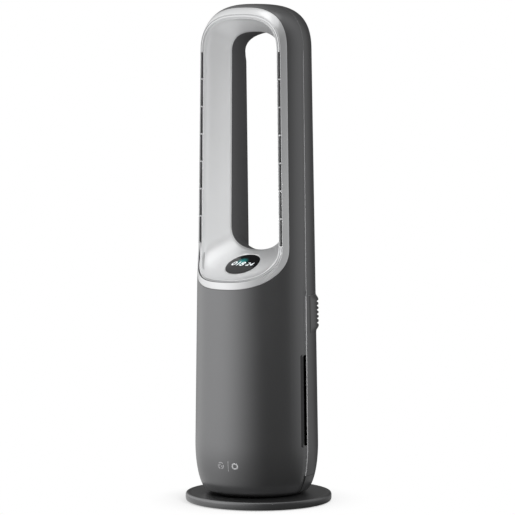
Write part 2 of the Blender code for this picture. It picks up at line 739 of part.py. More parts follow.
def make_power_inlet():
    """Grommet through the rear of the base, with a collar inside."""
    item = disc("power_inlet", INLET_RADIUS, 0, INLET_LENGTH, steps=16)
    cut(item, disc("bore", INLET_RADIUS / 2, INLET_LENGTH / 4, 2 * INLET_LENGTH, steps=12))
    return along_y(item, BASE_RADIUS - INLET_LENGTH, inlet_level())


# Carrying pieces of the tower

def make_turntable():
    """Neck that turns in the base, with a disc above that carries the tower."""
    inner = NECK_RADIUS - NECK_WALL
    profile = [(inner, NECK_BOTTOM), (NECK_RADIUS, NECK_BOTTOM), (NECK_RADIUS, DISC_BOTTOM),
               (LOWER_TUBE_RADIUS, DISC_BOTTOM), (LOWER_TUBE_RADIUS, DISC_TOP), (GEAR_BORE, DISC_TOP),
               (GEAR_BORE, DISC_BOTTOM), (inner, DISC_BOTTOM)]
    item = turned("turntable", profile, INNER_SIDES)
    return cut(item, disc("hole", PINION_SHAFT + GAP * 2, 0, HEIGHT, (0, PINION_DISTANCE), 16))


def make_retainer_ring():
    top = COVER_UNDERSIDE - RETAINER_PLAY
    inner = NECK_RADIUS + GAP
    return pipe("retainer_ring", inner + RETAINER_WIDTH, inner, top - RETAINER_THICKNESS, top, INNER_SIDES)


def make_lower_tub():
    """Floor of the tower with the rear skirt standing on its edge."""
    fit = SHELL_WALL + GAP
    skirt = keep(tower_skin("lower_tub"), region("rear", (None, SEAM_Y + SEAM / 2, None),
                                                 (None, None, SKIRT_HEIGHT - SEAM / 2)))
    floor = tower_solid("floor", fit, TOWER_BOTTOM, TUB_TOP)
    foot = keep(tower_solid("foot", SHELL_WALL / 2, TOWER_BOTTOM, TUB_TOP),
                region("rear", (None, SEAM_Y + SEAM / 2, None), (None, None, None)))
    join(floor, foot)
    join(skirt, floor)
    return cut(skirt, disc("hole", NECK_RADIUS + GAP, 0, TUB_TOP + TUB_FLOOR, steps=SIDES))


def make_chassis():
    """Lower tube with a ledge for the board, a shelf for the filter and a half tube up to the fan."""
    outer = LOWER_TUBE_RADIUS
    inner = outer - CHASSIS_WALL
    ledge = inner - LEDGE_WIDTH
    bottom = DISC_TOP + GAP
    middle = SHELF_HEIGHT + SHELF_THICKNESS / 2
    profile = [(inner, bottom), (outer, bottom), (outer, middle), (inner, middle),
               (inner, BOARD_HEIGHT), (ledge, BOARD_HEIGHT), (ledge, BOARD_HEIGHT - CHASSIS_WALL),
               (inner, BOARD_HEIGHT - CHASSIS_WALL)]
    item = turned("chassis", profile, INNER_SIDES)
    shelf = tower_solid("shelf", SHELL_WALL + GAP, SHELF_HEIGHT, SHELF_TOP)
    outside = HALF_TUBE_RADIUS + CHASSIS_WALL
    half = pipe("half", outside, HALF_TUBE_RADIUS, middle, MOUTH_BOTTOM - GAP, INNER_SIDES)
    keep(half, region("front", (None, None, None), (None, -INTAKE_WIDTH, None)))
    return join(item, shelf, half)


# Outer shells of the tower

def make_front_shell():
    """Front and sides up to the band, and on over the top to the parting plane."""
    item = tower_skin("front_shell")
    keep(item, region("front", (None, None, None), (None, SEAM_Y - SEAM / 2, None)))
    cut(item, prism("band", band_outline(SEAM / 2), -HEIGHT, -BAND_REACH))
    for side in (-1, 1):
        cut(item, region("intake", *intake_box(side)))
        cut(item, scoop(side))
    return item


def intake_box(side):
    inner = TOWER_RADIUS / 2
    outer = 2 * TOWER_RADIUS
    low = (inner if side > 0 else -outer, -INTAKE_WIDTH, INTAKE_BOTTOM)
    high = (outer if side > 0 else -inner, HEIGHT, INTAKE_TOP)
    return low, high


def scoop(side):
    """Wedge that takes a tapered recess off the shell in front of the side slot."""
    rings = []
    for z, width in ((INTAKE_BOTTOM, SCOOP_END), (INTAKE_BOTTOM + SCOOP_SLANT, SCOOP_WIDTH),
                     (INTAKE_TOP - SCOOP_SLANT, SCOOP_WIDTH), (INTAKE_TOP, SCOOP_END)):
        edge = -INTAKE_WIDTH - width
        deep = tower_radius(z) - SCOOP_DEPTH
        out = tower_radius(z) + SHELL_WALL
        shallow = chord(edge, z)
        rings.append([(side * deep, -INTAKE_WIDTH + SEAM, z), (side * out, -INTAKE_WIDTH + SEAM, z),
                      (side * out, edge, z), (side * shallow, edge, z)])
    return loft("scoop", rings)


def make_outlet_frame():
    """Silver band: the strip of the tower's surface between the ring and the dark shell."""
    item = tower_skin("outlet_frame")
    keep(item, prism("outer", band_outline(-SEAM / 2), -HEIGHT, -BAND_REACH))
    return cut(item, prism("inner", ring_outline(-GAP, -GAP), -2 * HEIGHT, 0))


def make_outlet_ring():
    """Ring of the outlet, with a row of slots up each side."""
    outer = ring_outline(GAP, GAP)
    inner = ring_outline(RING_WIDTH, RING_LOW_WIDTH)
    front_outer = face_depth(*outer)
    front_inner = face_depth(*inner)
    rings = surface_rings([outer, outer, inner, inner], [front_outer, front_outer + RING_DEPTH,
                                                         front_inner + RING_DEPTH, front_inner])
    item = loft("outlet_ring", rings, closed=True)
    pitch = (SLOT_TOP - RING_SIDE + SLOT_RIB) / SLOT_COUNT
    for side in (-1, 1):
        for k in range(SLOT_COUNT):
            bottom = RING_SIDE + k * pitch
            cut(item, slot_cutter(side, bottom, bottom + pitch - SLOT_RIB))
    return item


def slot_cutter(side, bottom, top):
    """Upright box, sheared to follow the taper of the ring."""
    rings = []
    for z in (bottom, top):
        outer = ring_edge(z) - SLOT_RIM
        inner = outer - SLOT_WIDTH
        rings.append([(side * inner, -HEIGHT, z), (side * outer, -HEIGHT, z), (side * outer, 0, z),
                      (side * inner, 0, z)])
    return loft("slot", rings)


def ring_edge(z):
    """Half width of the ring's outer edge at a height on its straight sides."""
    share = (z - RING_SIDE) / (DOME_START - RING_SIDE)
    low = chord(-FRONT_PLANE, RING_SIDE)
    return low + (chord(-FRONT_PLANE, DOME_START) - low) * share - GAP


def liner_rings():
    """Visible surface of the silver liner, from the ring to the throat."""
    front = ring_outline(RING_WIDTH + GAP + LINER_WALL, RING_LOW_WIDTH + GAP + LINER_WALL)
    throat = throat_outline()
    shares = np.linspace(0, 1, WALL_STATIONS)
    start = face_depth(*front)
    end = throat_depth(throat[1])
    return surface_rings(between(front, throat, liner_path(shares)),
                         [start + (end - start) * share for share in shares])


def make_inner_liner():
    item = walled_loft("inner_liner", liner_rings(), LINER_WALL, -1)
    return cut(item, display_disc("window", DISPLAY_RADIUS + GAP, -3 * DISPLAY_RADIUS, DISPLAY_RADIUS))


def floor_slope():
    """Slope of the loop's floor and its height at the axis, from the liner's straight part."""
    start = RING_BOTTOM + RING_LOW_WIDTH + GAP + LINER_WALL
    front = float(face_depth(0.0, start))
    steep = 1 / (1 - LINER_BEND / 2)
    slope = steep * (THROAT_BOTTOM - start) / (THROAT_Y_BOTTOM - front)
    return slope, THROAT_BOTTOM - slope * THROAT_Y_BOTTOM


def display_disc(name, radius, low, high):
    """Disc square to the loop's floor, from low to high above its surface."""
    slope, level = floor_slope()
    item = disc(name, radius, low, high, steps=INNER_SIDES)
    place = Matrix.Translation((0, DISPLAY_Y, level + slope * DISPLAY_Y))
    item.data.transform(place @ Matrix.Rotation(math.atan(slope), 4, "X"))
    return item


def make_display_lens():
    return display_disc("display_lens", DISPLAY_RADIUS, GAP - DISPLAY_THICKNESS, GAP)


def make_display_board():
    top = -DISPLAY_THICKNESS
    return display_disc("display_board", DISPLAY_RADIUS - DISPLAY_BOARD, top - DISPLAY_BOARD, top)


def make_rear_housing():
    """Dark rear of the loop: outer skin and the wall that runs from the throat out to it."""
    item = tower_skin("rear_housing")
    keep(item, region("rear", (None, SEAM_Y + SEAM / 2, COVER_TOP + SEAM / 2), (None, None, None)))
    cut(item, prism("window", rear_outline(), 0, 2 * HEIGHT))
    hold = SHELL_WALL / 4
    throat = throat_outline()
    shares = np.linspace(0, 1, WALL_STATIONS)
    outlines = between(throat, rear_outline(GAP), shares ** REAR_FLARE)
    start = throat_depth(throat[1]) + SEAM
    end = rear_depth(*outlines[-1], hold)
    depths = [start + (end - start) * share for share in shares]
    return join(item, walled_loft("wall", surface_rings(outlines, depths), REAR_WALL, 0))


def make_nozzle(name, side):
    """Thin upright sheet in a column that leads the air forward into the slot."""
    rings = []
    rear = -FRONT_PLANE + RING_DEPTH + GAP + NOZZLE_REACH
    middle = -FRONT_PLANE + RING_DEPTH + GAP + NOZZLE_REACH / 3
    front = -FRONT_PLANE + RING_DEPTH + GAP
    for z in (RING_SIDE, DOME_START):
        inner = ring_edge(z) - NOZZLE_INNER
        line = [(inner, front), (inner + NOZZLE_BOW, middle), (inner + NOZZLE_SLANT, rear)]
        back = [(x + NOZZLE_WALL, y) for x, y in reversed(line)]
        rings.append([(side * x, y, z) for x, y in line + back])
    return loft(name, rings)


# Rear cover and filter

def make_filter_cover():
    """Half shell with rows of intake slots."""
    item = tower_skin("filter_cover")
    keep(item, region("rear", (None, SEAM_Y + SEAM / 2, SKIRT_HEIGHT + SEAM / 2),
                      (None, None, COVER_TOP - SEAM / 2)))
    for column in range(VENT_COLUMNS):
        turn = math.radians(90 + VENT_ANGLE * (column - (VENT_COLUMNS - 1) / 2))
        for row in range(VENT_ROWS):
            cut(item, vent(turn, VENT_BOTTOM + row * VENT_PITCH))
    return item


def vent(turn, bottom):
    """Box through the cover, standing radially at an angle."""
    item = block("vent", (TOWER_RADIUS / 2, -VENT_WIDTH / 2, bottom),
                 (2 * TOWER_RADIUS, VENT_WIDTH / 2, bottom + VENT_HEIGHT))
    item.data.transform(Matrix.Rotation(turn, 4, "Z"))
    return item


def make_cover_grip():
    """Raised band round the rear cover, with rounded ribs between its grooves."""
    bevel = GRIP_RAISE
    inner = GAP
    profile = [(inner, GRIP_TOP), (inner, GRIP_BOTTOM), (GRIP_RAISE, GRIP_BOTTOM + bevel)]
    for k in range(GRIP_RIBS):
        middle = GRIP_BOTTOM + GRIP_MARGIN + k * GRIP_PITCH
        profile += [(GRIP_RAISE - GRIP_GROOVE, middle - GRIP_PITCH / 2),
                    (GRIP_RAISE, middle - GRIP_PITCH / 4), (GRIP_RAISE, middle + GRIP_PITCH / 4)]
    profile += [(GRIP_RAISE - GRIP_GROOVE, middle + GRIP_PITCH / 2), (GRIP_RAISE, GRIP_TOP - bevel / 2)]
    rings = []
    last = SIDES // 2 - GRIP_START
    for k in range(GRIP_START, last + 1):
        turn = 2 * math.pi * k / SIDES
        limit = GRIP_END if k in (GRIP_START, last) else GRIP_RAISE
        ring = []
        for height, z in profile:
            radius = tower_radius(z) + min(height, limit)
            ring.append((radius * math.cos(turn), tower_centre(z) + radius * math.sin(turn), z))
        rings.append(ring)
    return loft("cover_grip", rings)


def make_filter_media():
    low = FILTER_BOTTOM + FILTER_CAP + GAP
    high = FILTER_TOP - FILTER_CAP - GAP
    return pipe("filter_media", FILTER_RADIUS, FILTER_BORE, low, high, INNER_SIDES)


def make_filter_cap(name, bottom, bore):
    outer = FILTER_RADIUS + FILTER_LIP
    if bore:
        return pipe(name, outer, bore, bottom, bottom + FILTER_CAP, INNER_SIDES)
    return disc(name, outer, bottom, bottom + FILTER_CAP, steps=INNER_SIDES)


def make_filter_tab():
    """Pull strip that hangs from the top cap at the rear of the filter."""
    outer = FILTER_RADIUS + FILTER_LIP + GAP
    low = FILTER_TOP - TAB_HEIGHT
    top = FILTER_TOP
    return block("filter_tab", (-TAB_WIDTH / 2, outer, low), (TAB_WIDTH / 2, outer + TAB_THICKNESS, top))


# Fan and motor

def make_bellmouth():
    """Plate across the tower with a rounded inlet lip."""
    item = tower_solid("bellmouth", SHELL_WALL + GAP, MOUTH_BOTTOM, MOUTH_TOP)
    cut(item, disc("hole", MOUTH_RADIUS, 0, HEIGHT, steps=INNER_SIDES))
    inner = IMPELLER_EYE - 3 * GAP
    lip_top = MOUTH_TOP + MOUTH_LIP
    profile = [(MOUTH_RADIUS + PLATE_HEIGHT, MOUTH_BOTTOM), (MOUTH_RADIUS + PLATE_HEIGHT, MOUTH_TOP),
               (inner, lip_top), (inner - PLATE_HEIGHT / 2, lip_top),
               (MOUTH_RADIUS - PLATE_HEIGHT, MOUTH_TOP),
               (MOUTH_RADIUS - PLATE_HEIGHT / 2, MOUTH_BOTTOM)]
    return join(item, turned("lip", profile, INNER_SIDES))


def make_bellmouth_seal():
    inner = MOUTH_RADIUS + PLATE_HEIGHT
    top = SEAL_BOTTOM + SEAL_HEIGHT
    return pipe("bellmouth_seal", inner + SEAL_WIDTH, inner, SEAL_BOTTOM, top, INNER_SIDES)


def make_fan_housing():
    """Tube with a ledge for the diffuser."""
    inner = HOUSING_RADIUS - HOUSING_WALL
    ledge = inner - LEDGE_REACH
    ledge_top = LEDGE_BOTTOM + DIFFUSER_WALL
    profile = [(inner, HOUSING_BOTTOM), (HOUSING_RADIUS, HOUSING_BOTTOM), (HOUSING_RADIUS, HOUSING_TOP),
               (inner, HOUSING_TOP), (inner, ledge_top), (ledge, ledge_top), (ledge, LEDGE_BOTTOM),
               (inner, LEDGE_BOTTOM)]
    return turned("fan_housing", profile, INNER_SIDES)


def make_diffuser():
    """Ring and motor cup, held together by straight guide vanes."""
    outer = HOUSING_RADIUS - HOUSING_WALL - GAP
    cup = CUP_RADIUS + DIFFUSER_WALL
    floor = DIFFUSER_BOTTOM + DIFFUSER_WALL
    item = pipe("diffuser", outer, outer - DIFFUSER_WALL, DIFFUSER_BOTTOM, DIFFUSER_TOP, INNER_SIDES)
    profile = [(BEARING_RADIUS, DIFFUSER_BOTTOM), (cup, DIFFUSER_BOTTOM), (cup, DIFFUSER_TOP),
               (CUP_RADIUS, DIFFUSER_TOP), (CUP_RADIUS, floor), (BEARING_RADIUS, floor)]
    centre = turned("cup", profile, INNER_SIDES)
    reach = outer - DIFFUSER_WALL / 2
    for k in range(DIFFUSER_VANES):
        vane = block("vane", (cup - DIFFUSER_WALL / 2, -DIFFUSER_WALL / 2, DIFFUSER_BOTTOM + DIFFUSER_WALL),
                     (reach, DIFFUSER_WALL / 2, DIFFUSER_TOP - DIFFUSER_WALL))
        vane.data.transform(Matrix.Rotation(2 * math.pi * k / DIFFUSER_VANES, 4, "Z"))
        join(centre, vane)
    return join(item, centre)


def make_motor_mount():
    """Rubber cup between the motor and the diffuser."""
    inner = MOTOR_RADIUS + GAP
    return pipe("motor_mount", MOUNT_RADIUS, inner, MOTOR_BOTTOM, DIFFUSER_TOP - DIFFUSER_WALL, INNER_SIDES)


def make_motor_case():
    """Cup that holds the lower bearing and the stator."""
    inner = MOTOR_RADIUS - MOTOR_WALL
    pocket = BEARING_RADIUS + GAP
    shoulder = MOTOR_BOTTOM + MOTOR_WALL + BEARING_HEIGHT
    profile = [(SHAFT_HOLE, MOTOR_BOTTOM), (MOTOR_RADIUS, MOTOR_BOTTOM), (MOTOR_RADIUS, MOTOR_TOP),
               (inner, MOTOR_TOP), (inner, shoulder), (pocket, shoulder), (pocket, MOTOR_BOTTOM + MOTOR_WALL),
               (SHAFT_HOLE, MOTOR_BOTTOM + MOTOR_WALL)]
    return turned("motor_case", profile, INNER_SIDES)


def make_motor_cap():
    """Lid with the pocket of the upper bearing."""
    bottom = MOTOR_TOP + GAP
    top = bottom + MOTOR_WALL
    pocket = BEARING_RADIUS + GAP
    profile = [(pocket, bottom - BEARING_HEIGHT), (pocket + MOTOR_WALL, bottom - BEARING_HEIGHT),
               (pocket + MOTOR_WALL, bottom), (MOTOR_RADIUS, bottom), (MOTOR_RADIUS, top), (0, top),
               (0, bottom), (pocket, bottom)]
    return turned("motor_cap", profile, INNER_SIDES)


def stator_bottom():
    return MOTOR_BOTTOM + MOTOR_WALL + BEARING_HEIGHT + GAP


def make_motor_stator():
    outer = MOTOR_RADIUS - MOTOR_WALL - GAP
    low = stator_bottom()
    return pipe("motor_stator", outer, ROTOR_RADIUS + ROTOR_GAP, low, low + STATOR_HEIGHT, INNER_SIDES)


def make_bearing(name, bottom):
    return pipe(name, BEARING_RADIUS, SHAFT_RADIUS + GAP, bottom, bottom + BEARING_HEIGHT - GAP, 16)


def make_motor_rotor():
    """Magnet core on the shaft that runs down into the impeller."""
    low = stator_bottom()
    high = low + STATOR_HEIGHT
    top = MOTOR_TOP - GAP
    bottom = IMPELLER_TOP - HUB_HEIGHT / 2
    profile = [(0, bottom), (SHAFT_RADIUS, bottom), (SHAFT_RADIUS, low), (ROTOR_RADIUS, low),
               (ROTOR_RADIUS, high), (SHAFT_RADIUS, high), (SHAFT_RADIUS, top), (0, top)]
    return turned("motor_rotor", profile, 24)


def make_impeller():
    """Hub and disc, swept blades and the shroud round the eye."""
    top = IMPELLER_TOP
    hub_bottom = top - HUB_HEIGHT
    bore = SHAFT_RADIUS + GAP
    bore_bottom = top - HUB_HEIGHT / 2 - GAP
    profile = [(0, hub_bottom), (HUB_RADIUS / 2, hub_bottom), (HUB_RADIUS, hub_bottom + HUB_RADIUS / 2),
               (HUB_RADIUS, top - IMPELLER_DISC - DISC_CONE), (IMPELLER_RADIUS, top - IMPELLER_DISC),
               (IMPELLER_RADIUS, top), (bore, top), (bore, bore_bottom), (0, bore_bottom)]
    item = turned("impeller", profile, INNER_SIDES)
    low = IMPELLER_BOTTOM
    rim = low + SHROUD_RISE
    shroud = turned("shroud", [(IMPELLER_EYE, low), (IMPELLER_RADIUS, rim),
                               (IMPELLER_RADIUS, rim + IMPELLER_DISC), (IMPELLER_EYE, low + IMPELLER_DISC)],
                    INNER_SIDES)
    for k in range(IMPELLER_BLADES):
        join(item, blade(2 * math.pi * k / IMPELLER_BLADES))
    return join(item, shroud)


def blade(start):
    """Upright sheet that curves back from the eye to the rim."""
    first = IMPELLER_EYE - BLADE_INSET
    line = []
    for share in np.linspace(0, 1, 5):
        radius = first + (IMPELLER_RADIUS - GAP - first) * share
        turn = start - math.radians(BLADE_SWEEP) * share
        line.append((radius * math.cos(turn), radius * math.sin(turn)))
    rings = []
    run = IMPELLER_RADIUS - IMPELLER_EYE
    for x, y in line:
        length = math.hypot(x, y)
        aside = Vector((-y / length, x / length, 0)) * BLADE_WALL / 2
        foot = IMPELLER_BOTTOM + IMPELLER_DISC / 2 + SHROUD_RISE * max(0, (length - IMPELLER_EYE) / run)
        head = IMPELLER_TOP - IMPELLER_DISC / 2
        rings.append([(x - aside.x, y - aside.y, foot), (x + aside.x, y + aside.y, foot),
                      (x + aside.x, y + aside.y, head), (x - aside.x, y - aside.y, head)])
    return loft("blade", rings)


def make_flow_divider():
    """Roof over the motor that parts the air to the two columns."""
    low = DIFFUSER_TOP + GAP
    half = DIVIDER_WIDTH / 2
    section = [(-half, low), (half, low), (half, low + DIVIDER_BASE), (DIVIDER_BASE, low + DIVIDER_HEIGHT),
               (-DIVIDER_BASE, low + DIVIDER_HEIGHT), (-half, low + DIVIDER_BASE)]
    depth = DIVIDER_LENGTH / 2
    return loft("flow_divider", [[(x, y, z) for x, z in section] for y in (-depth, depth)])


# Electrics

def make_main_board():
    """Round board on the chassis ledge, with its larger components."""
    radius = LOWER_TUBE_RADIUS - CHASSIS_WALL - GAP
    low = BOARD_HEIGHT + GAP
    top = low + BOARD_THICKNESS
    item = disc("main_board", radius, low, top, steps=INNER_SIDES)
    for turn, width, tall in COMPONENTS:
        near = radius - COMPONENT_MARGIN - width / 2
        part = block("component", (near, -width / 2, low + BOARD_THICKNESS / 2),
                     (near + width, width / 2, top + tall))
        part.data.transform(Matrix.Rotation(math.radians(turn), 4, "Z"))
        join(item, part)
    return item


def make_power_supply():
    low = BOARD_HEIGHT + GAP + BOARD_THICKNESS + GAP
    x, y, z = SUPPLY_SIZE
    return block("power_supply", (-x / 2, -y / 2, low), (x / 2, y / 2, low + z))


def make_air_sensor():
    x, y, z = SENSOR_SIZE
    near = LOWER_TUBE_RADIUS + GAP
    return block("air_sensor", (-x / 2, near, SENSOR_BOTTOM), (x / 2, near + y, SENSOR_BOTTOM + z))


def make_swivel_motor():
    """Stepper motor on the turntable, with the bore for the pinion's shaft."""
    low = DISC_TOP + GAP
    place = (0, PINION_DISTANCE)
    item = disc("swivel_motor", SWIVEL_MOTOR_RADIUS, low, low + SWIVEL_MOTOR_HEIGHT, place, 24)
    return cut(item, disc("bore", PINION_SHAFT + GAP, 0, low + SWIVEL_MOTOR_HEIGHT / 2, place, 12))


def make_swivel_pinion():
    """Pinion with the shaft that runs up into the stepper motor, drawn about its own axis."""
    radius = TOOTH_MODULE * PINION_TEETH / 2
    points = gear_ring(radius, PINION_TEETH, TOOTH_PLAY)
    half_tooth = math.pi / PINION_TEETH
    low = GEAR_BOTTOM + GAP
    rings = [[(x, y, z) for x, y in points] for z in (low, low + GEAR_HEIGHT)]
    item = loft("swivel_pinion", rings)
    item.data.transform(Matrix.Rotation(math.pi / 2 + half_tooth, 4, "Z"))
    shaft_top = DISC_TOP + GAP + SWIVEL_MOTOR_HEIGHT / 2 - GAP
    return join(item, disc("shaft", PINION_SHAFT, low + GEAR_HEIGHT / 2, shaft_top, steps=12))


def make_cover_magnet(name, side):
    """Magnet on the bellmouth plate, close inside the rear cover."""
    reach = tower_radius(MOUTH_TOP) - SHELL_WALL - MAGNET_RADIUS - 2 * GAP
    turn = math.radians(MAGNET_ANGLE)
    place = (side * reach * math.cos(turn), tower_centre(MOUTH_TOP) + reach * math.sin(turn))
    return disc(name, MAGNET_RADIUS, HOUSING_BOTTOM, HOUSING_BOTTOM + MAGNET_HEIGHT, place, 16)


# Finishes and assembly

FINISHES = {
    "dark": ((0.045, 0.046, 0.048), 0.42, 0.0),
    "darker": ((0.025, 0.026, 0.028), 0.5, 0.0),
    "silver": ((0.58, 0.59, 0.60), 0.32, 0.6),
    "black": ((0.008, 0.008, 0.009), 0.08, 0.0),
    "rubber": ((0.012, 0.012, 0.012), 0.8, 0.0),
    "steel": ((0.45, 0.45, 0.46), 0.35, 1.0),
    "grey": ((0.22, 0.23, 0.24), 0.5, 0.0),
    "board": ((0.02, 0.12, 0.05), 0.5, 0.0),
    "filter": ((0.75, 0.77, 0.78), 0.85, 0.0),
    "copper": ((0.50, 0.22, 0.10), 0.4, 0.9),
}


def paint(item, finish):
    colour, roughness, metallic = FINISHES[finish]
    material = bpy.data.materials.new(item.name)
    material.use_nodes = True
    shader = material.node_tree.nodes["Principled BSDF"]
    shader.inputs["Base Color"].default_value = (*colour, 1)
    shader.inputs["Roughness"].default_value = roughness
    shader.inputs["Metallic"].default_value = metallic
    item.data.materials.clear()
    item.data.materials.append(material)


def axis_empty(name, place, parent=None):
    item = bpy.data.objects.new(name, None)
    bpy.context.scene.collection.objects.link(item)
    item.location = place
    item.parent = parent
    return item


def put(parent, finish, *items):
    for item in items:
        paint(item, finish)
        item.parent = parent


def build_base():
    feet = [make_foot(k) for k in range(FOOT_COUNT)]
    screws = [make_base_screw(k) for k in range(FOOT_COUNT)]
    put(None, "dark", make_base_cover())
    put(None, "darker", make_base_plate())
    put(None, "rubber", *feet, make_power_inlet())
    put(None, "steel", make_base_weight(), *screws)
    put(None, "grey", make_slide_ring(), make_swivel_gear())


def build_tower(axis):
    put(axis, "dark", make_lower_tub(), make_front_shell(), make_rear_housing())
    put(axis, "silver", make_outlet_frame(), make_inner_liner(), make_outlet_ring())
    put(axis, "black", make_display_lens())
    put(axis, "board", make_display_board(), make_main_board())
    put(axis, "grey", make_turntable(), make_retainer_ring(), make_chassis(), make_bellmouth(),
        make_fan_housing(), make_diffuser(), make_flow_divider())
    put(axis, "darker", make_nozzle("left_nozzle", -1), make_nozzle("right_nozzle", 1), make_power_supply(),
        make_air_sensor())
    put(axis, "rubber", make_motor_mount(), make_bellmouth_seal())
    put(axis, "copper", make_motor_stator())
    put(axis, "steel", make_motor_case(), make_motor_cap(), make_swivel_motor(),
        make_bearing("lower_bearing", MOTOR_BOTTOM + MOTOR_WALL + GAP),
        make_bearing("upper_bearing", MOTOR_TOP - BEARING_HEIGHT + GAP),
        make_cover_magnet("cover_magnet_left", -1), make_cover_magnet("cover_magnet_right", 1))


def build_moving(axis):
    fan = axis_empty("fan_axis", (0, 0, 0), axis)
    put(fan, "grey", make_impeller())
    put(fan, "steel", make_motor_rotor())
    pinion = axis_empty("pinion_axis", (0, PINION_DISTANCE, 0), axis)
    put(pinion, "grey", make_swivel_pinion())
    cover = axis_empty("cover_slide", (0, 0, 0), axis)
    put(cover, "dark", make_filter_cover(), make_cover_grip())
    drawer = axis_empty("filter_slide", (0, 0, 0), axis)
    put(drawer, "filter", make_filter_media())
    put(drawer, "grey", make_filter_cap("filter_top_cap", FILTER_TOP - FILTER_CAP, FILTER_BORE - FILTER_LIP),
        make_filter_cap("filter_bottom_cap", FILTER_BOTTOM, 0))
    put(drawer, "darker", make_filter_tab())


def main():
    for item in list(bpy.data.objects):
        bpy.data.objects.remove(item)
    build_base()
    tower_axis = axis_empty("tower_axis", (0, -AXIS_FORWARD, 0))
    build_tower(tower_axis)
    build_moving(tower_axis)


main()
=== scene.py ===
import json
import math

import bmesh
import bpy
import numpy as np
from mathutils import Matrix, Vector


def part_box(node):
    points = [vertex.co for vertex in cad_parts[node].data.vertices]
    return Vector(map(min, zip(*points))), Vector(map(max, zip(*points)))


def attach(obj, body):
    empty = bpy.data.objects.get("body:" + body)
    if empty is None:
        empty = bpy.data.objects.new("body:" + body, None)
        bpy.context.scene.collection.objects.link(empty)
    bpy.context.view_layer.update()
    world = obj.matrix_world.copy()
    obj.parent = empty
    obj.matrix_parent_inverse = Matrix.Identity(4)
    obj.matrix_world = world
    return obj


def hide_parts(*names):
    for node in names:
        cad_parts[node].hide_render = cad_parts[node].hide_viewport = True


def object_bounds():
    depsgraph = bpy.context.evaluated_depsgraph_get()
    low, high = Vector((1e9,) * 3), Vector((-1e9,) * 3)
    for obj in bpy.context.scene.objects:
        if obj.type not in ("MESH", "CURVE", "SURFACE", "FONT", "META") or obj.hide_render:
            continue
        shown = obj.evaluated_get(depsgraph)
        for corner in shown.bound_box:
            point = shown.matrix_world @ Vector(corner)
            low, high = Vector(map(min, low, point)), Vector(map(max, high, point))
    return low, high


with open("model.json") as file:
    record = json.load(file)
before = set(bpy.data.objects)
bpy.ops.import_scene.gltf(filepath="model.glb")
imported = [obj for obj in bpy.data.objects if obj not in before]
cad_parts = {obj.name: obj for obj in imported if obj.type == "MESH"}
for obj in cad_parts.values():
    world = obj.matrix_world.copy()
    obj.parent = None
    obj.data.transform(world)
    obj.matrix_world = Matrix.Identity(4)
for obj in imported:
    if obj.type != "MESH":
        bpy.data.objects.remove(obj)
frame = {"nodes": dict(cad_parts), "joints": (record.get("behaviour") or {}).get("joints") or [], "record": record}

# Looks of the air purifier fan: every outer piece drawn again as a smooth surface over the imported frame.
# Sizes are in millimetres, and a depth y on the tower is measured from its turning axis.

CAD_BOX = [list(corner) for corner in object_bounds()]
MM = 0.001
AXIS = next(Vector(joint["pos_m"]) for joint in frame["joints"] if joint["name"] == "tower_swivel")
AXIS_Y = AXIS.y / MM

# Form of the tower
HEIGHT = CAD_BOX[1][2] / MM
TOWER_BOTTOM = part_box("front_shell")[0].z / MM
TOWER_RADIUS = 130.2
RADIUS_LEVEL = 120
TAPER = 0.0155
LEAN = 0.00474
FOOT_ROUND_TOP = 130
FOOT_ROUND_DROP = 106
FOOT_INSET = 30
DOME_START = HEIGHT - 105
DOME_POWER = 2.7
FRONT_PLANE = 60.5
REAR_PLANE = 74
FLAT_RUN = 60
FLAT_RELEASE = DOME_START / 10
CREST = 8
FRONT_DROP = 22
REAR_DROP = 14
SEAM_FRONT = 2.7
SEAM_REAR = 3.3
SHELL_LEVEL = 442
WALL = 2.5
JOINT_GAP = 0.3

# How far the front shell sinks before the seam, and over what stretch
COVER_STEP = 2.0
HOUSING_STEP = 0.8
STEP_RUN = 16
STEP_FADE = 40

# Silver band and ring
BAND_DEPTH = 45
BAND_LOW_WIDTH = 15.3
BAND_LAG = 3
BAND_POWER = 2.8
BAND_GAP = 0.4
RING_BOTTOM = 472.3
RING_SIDE = 548
RING_POWER = 2.9
RING_RECESS = 4
RING_BLEND = 48
RING_WIDTH = 8
RING_LOW_WIDTH = 2.7
RING_DEPTH = 9.7
RING_GROOVE = 1.7
BEAD_START = 0.19
BEAD_WIDTH = 0.56
BEAD_HEIGHT = 1.8
SLOT_COUNT = 7
SLOT_RIB = 2.8
SLOT_TOP = DOME_START + 4
SLOT_INNER = 7.2
SLOT_OUTER = 0.6
SLOT_REACH = 20

# Inside of the loop; a corner is its height and its superellipse power
THROAT_Y_TOP = -6
THROAT_Y_BOTTOM = 1
COLUMN_WIDTH = 42
THROAT_TOP = HEIGHT - 58.2
THROAT_BOTTOM = RING_BOTTOM + 61.9
THROAT_HIGH_CORNER = (45, 2.6)
THROAT_LOW_CORNER = (47.5, 2.3)
LINER_BEND = 0.31
LINER_STEEP = 1 / (1 - LINER_BEND / 2)
LINER_WALL = 1.6
LINER_START = 0.03
LINER_CROWDING = 1.6
LINER_INSET = RING_WIDTH + JOINT_GAP + LINER_WALL
LINER_LOW_INSET = RING_LOW_WIDTH + JOINT_GAP + LINER_WALL
REAR_TOP = HEIGHT - 57.5
REAR_BOTTOM = THROAT_BOTTOM - 31
REAR_SPREADS = (23, 18)
REAR_HIGH_CORNER = (41, 2.2)
REAR_LOW_CORNER = (30, 2.6)
REAR_FLARE = 1.5
REAR_LIP = 1.2
REAR_WALL = 1.2
REAR_START = 0.6
# Faces of the rear housing that take the loop's painted shade: middle height, half width, and how far they must
# look inward
LOOP_MIDDLE = 760
LOOP_REACH = 92
LOOP_FACING = -20

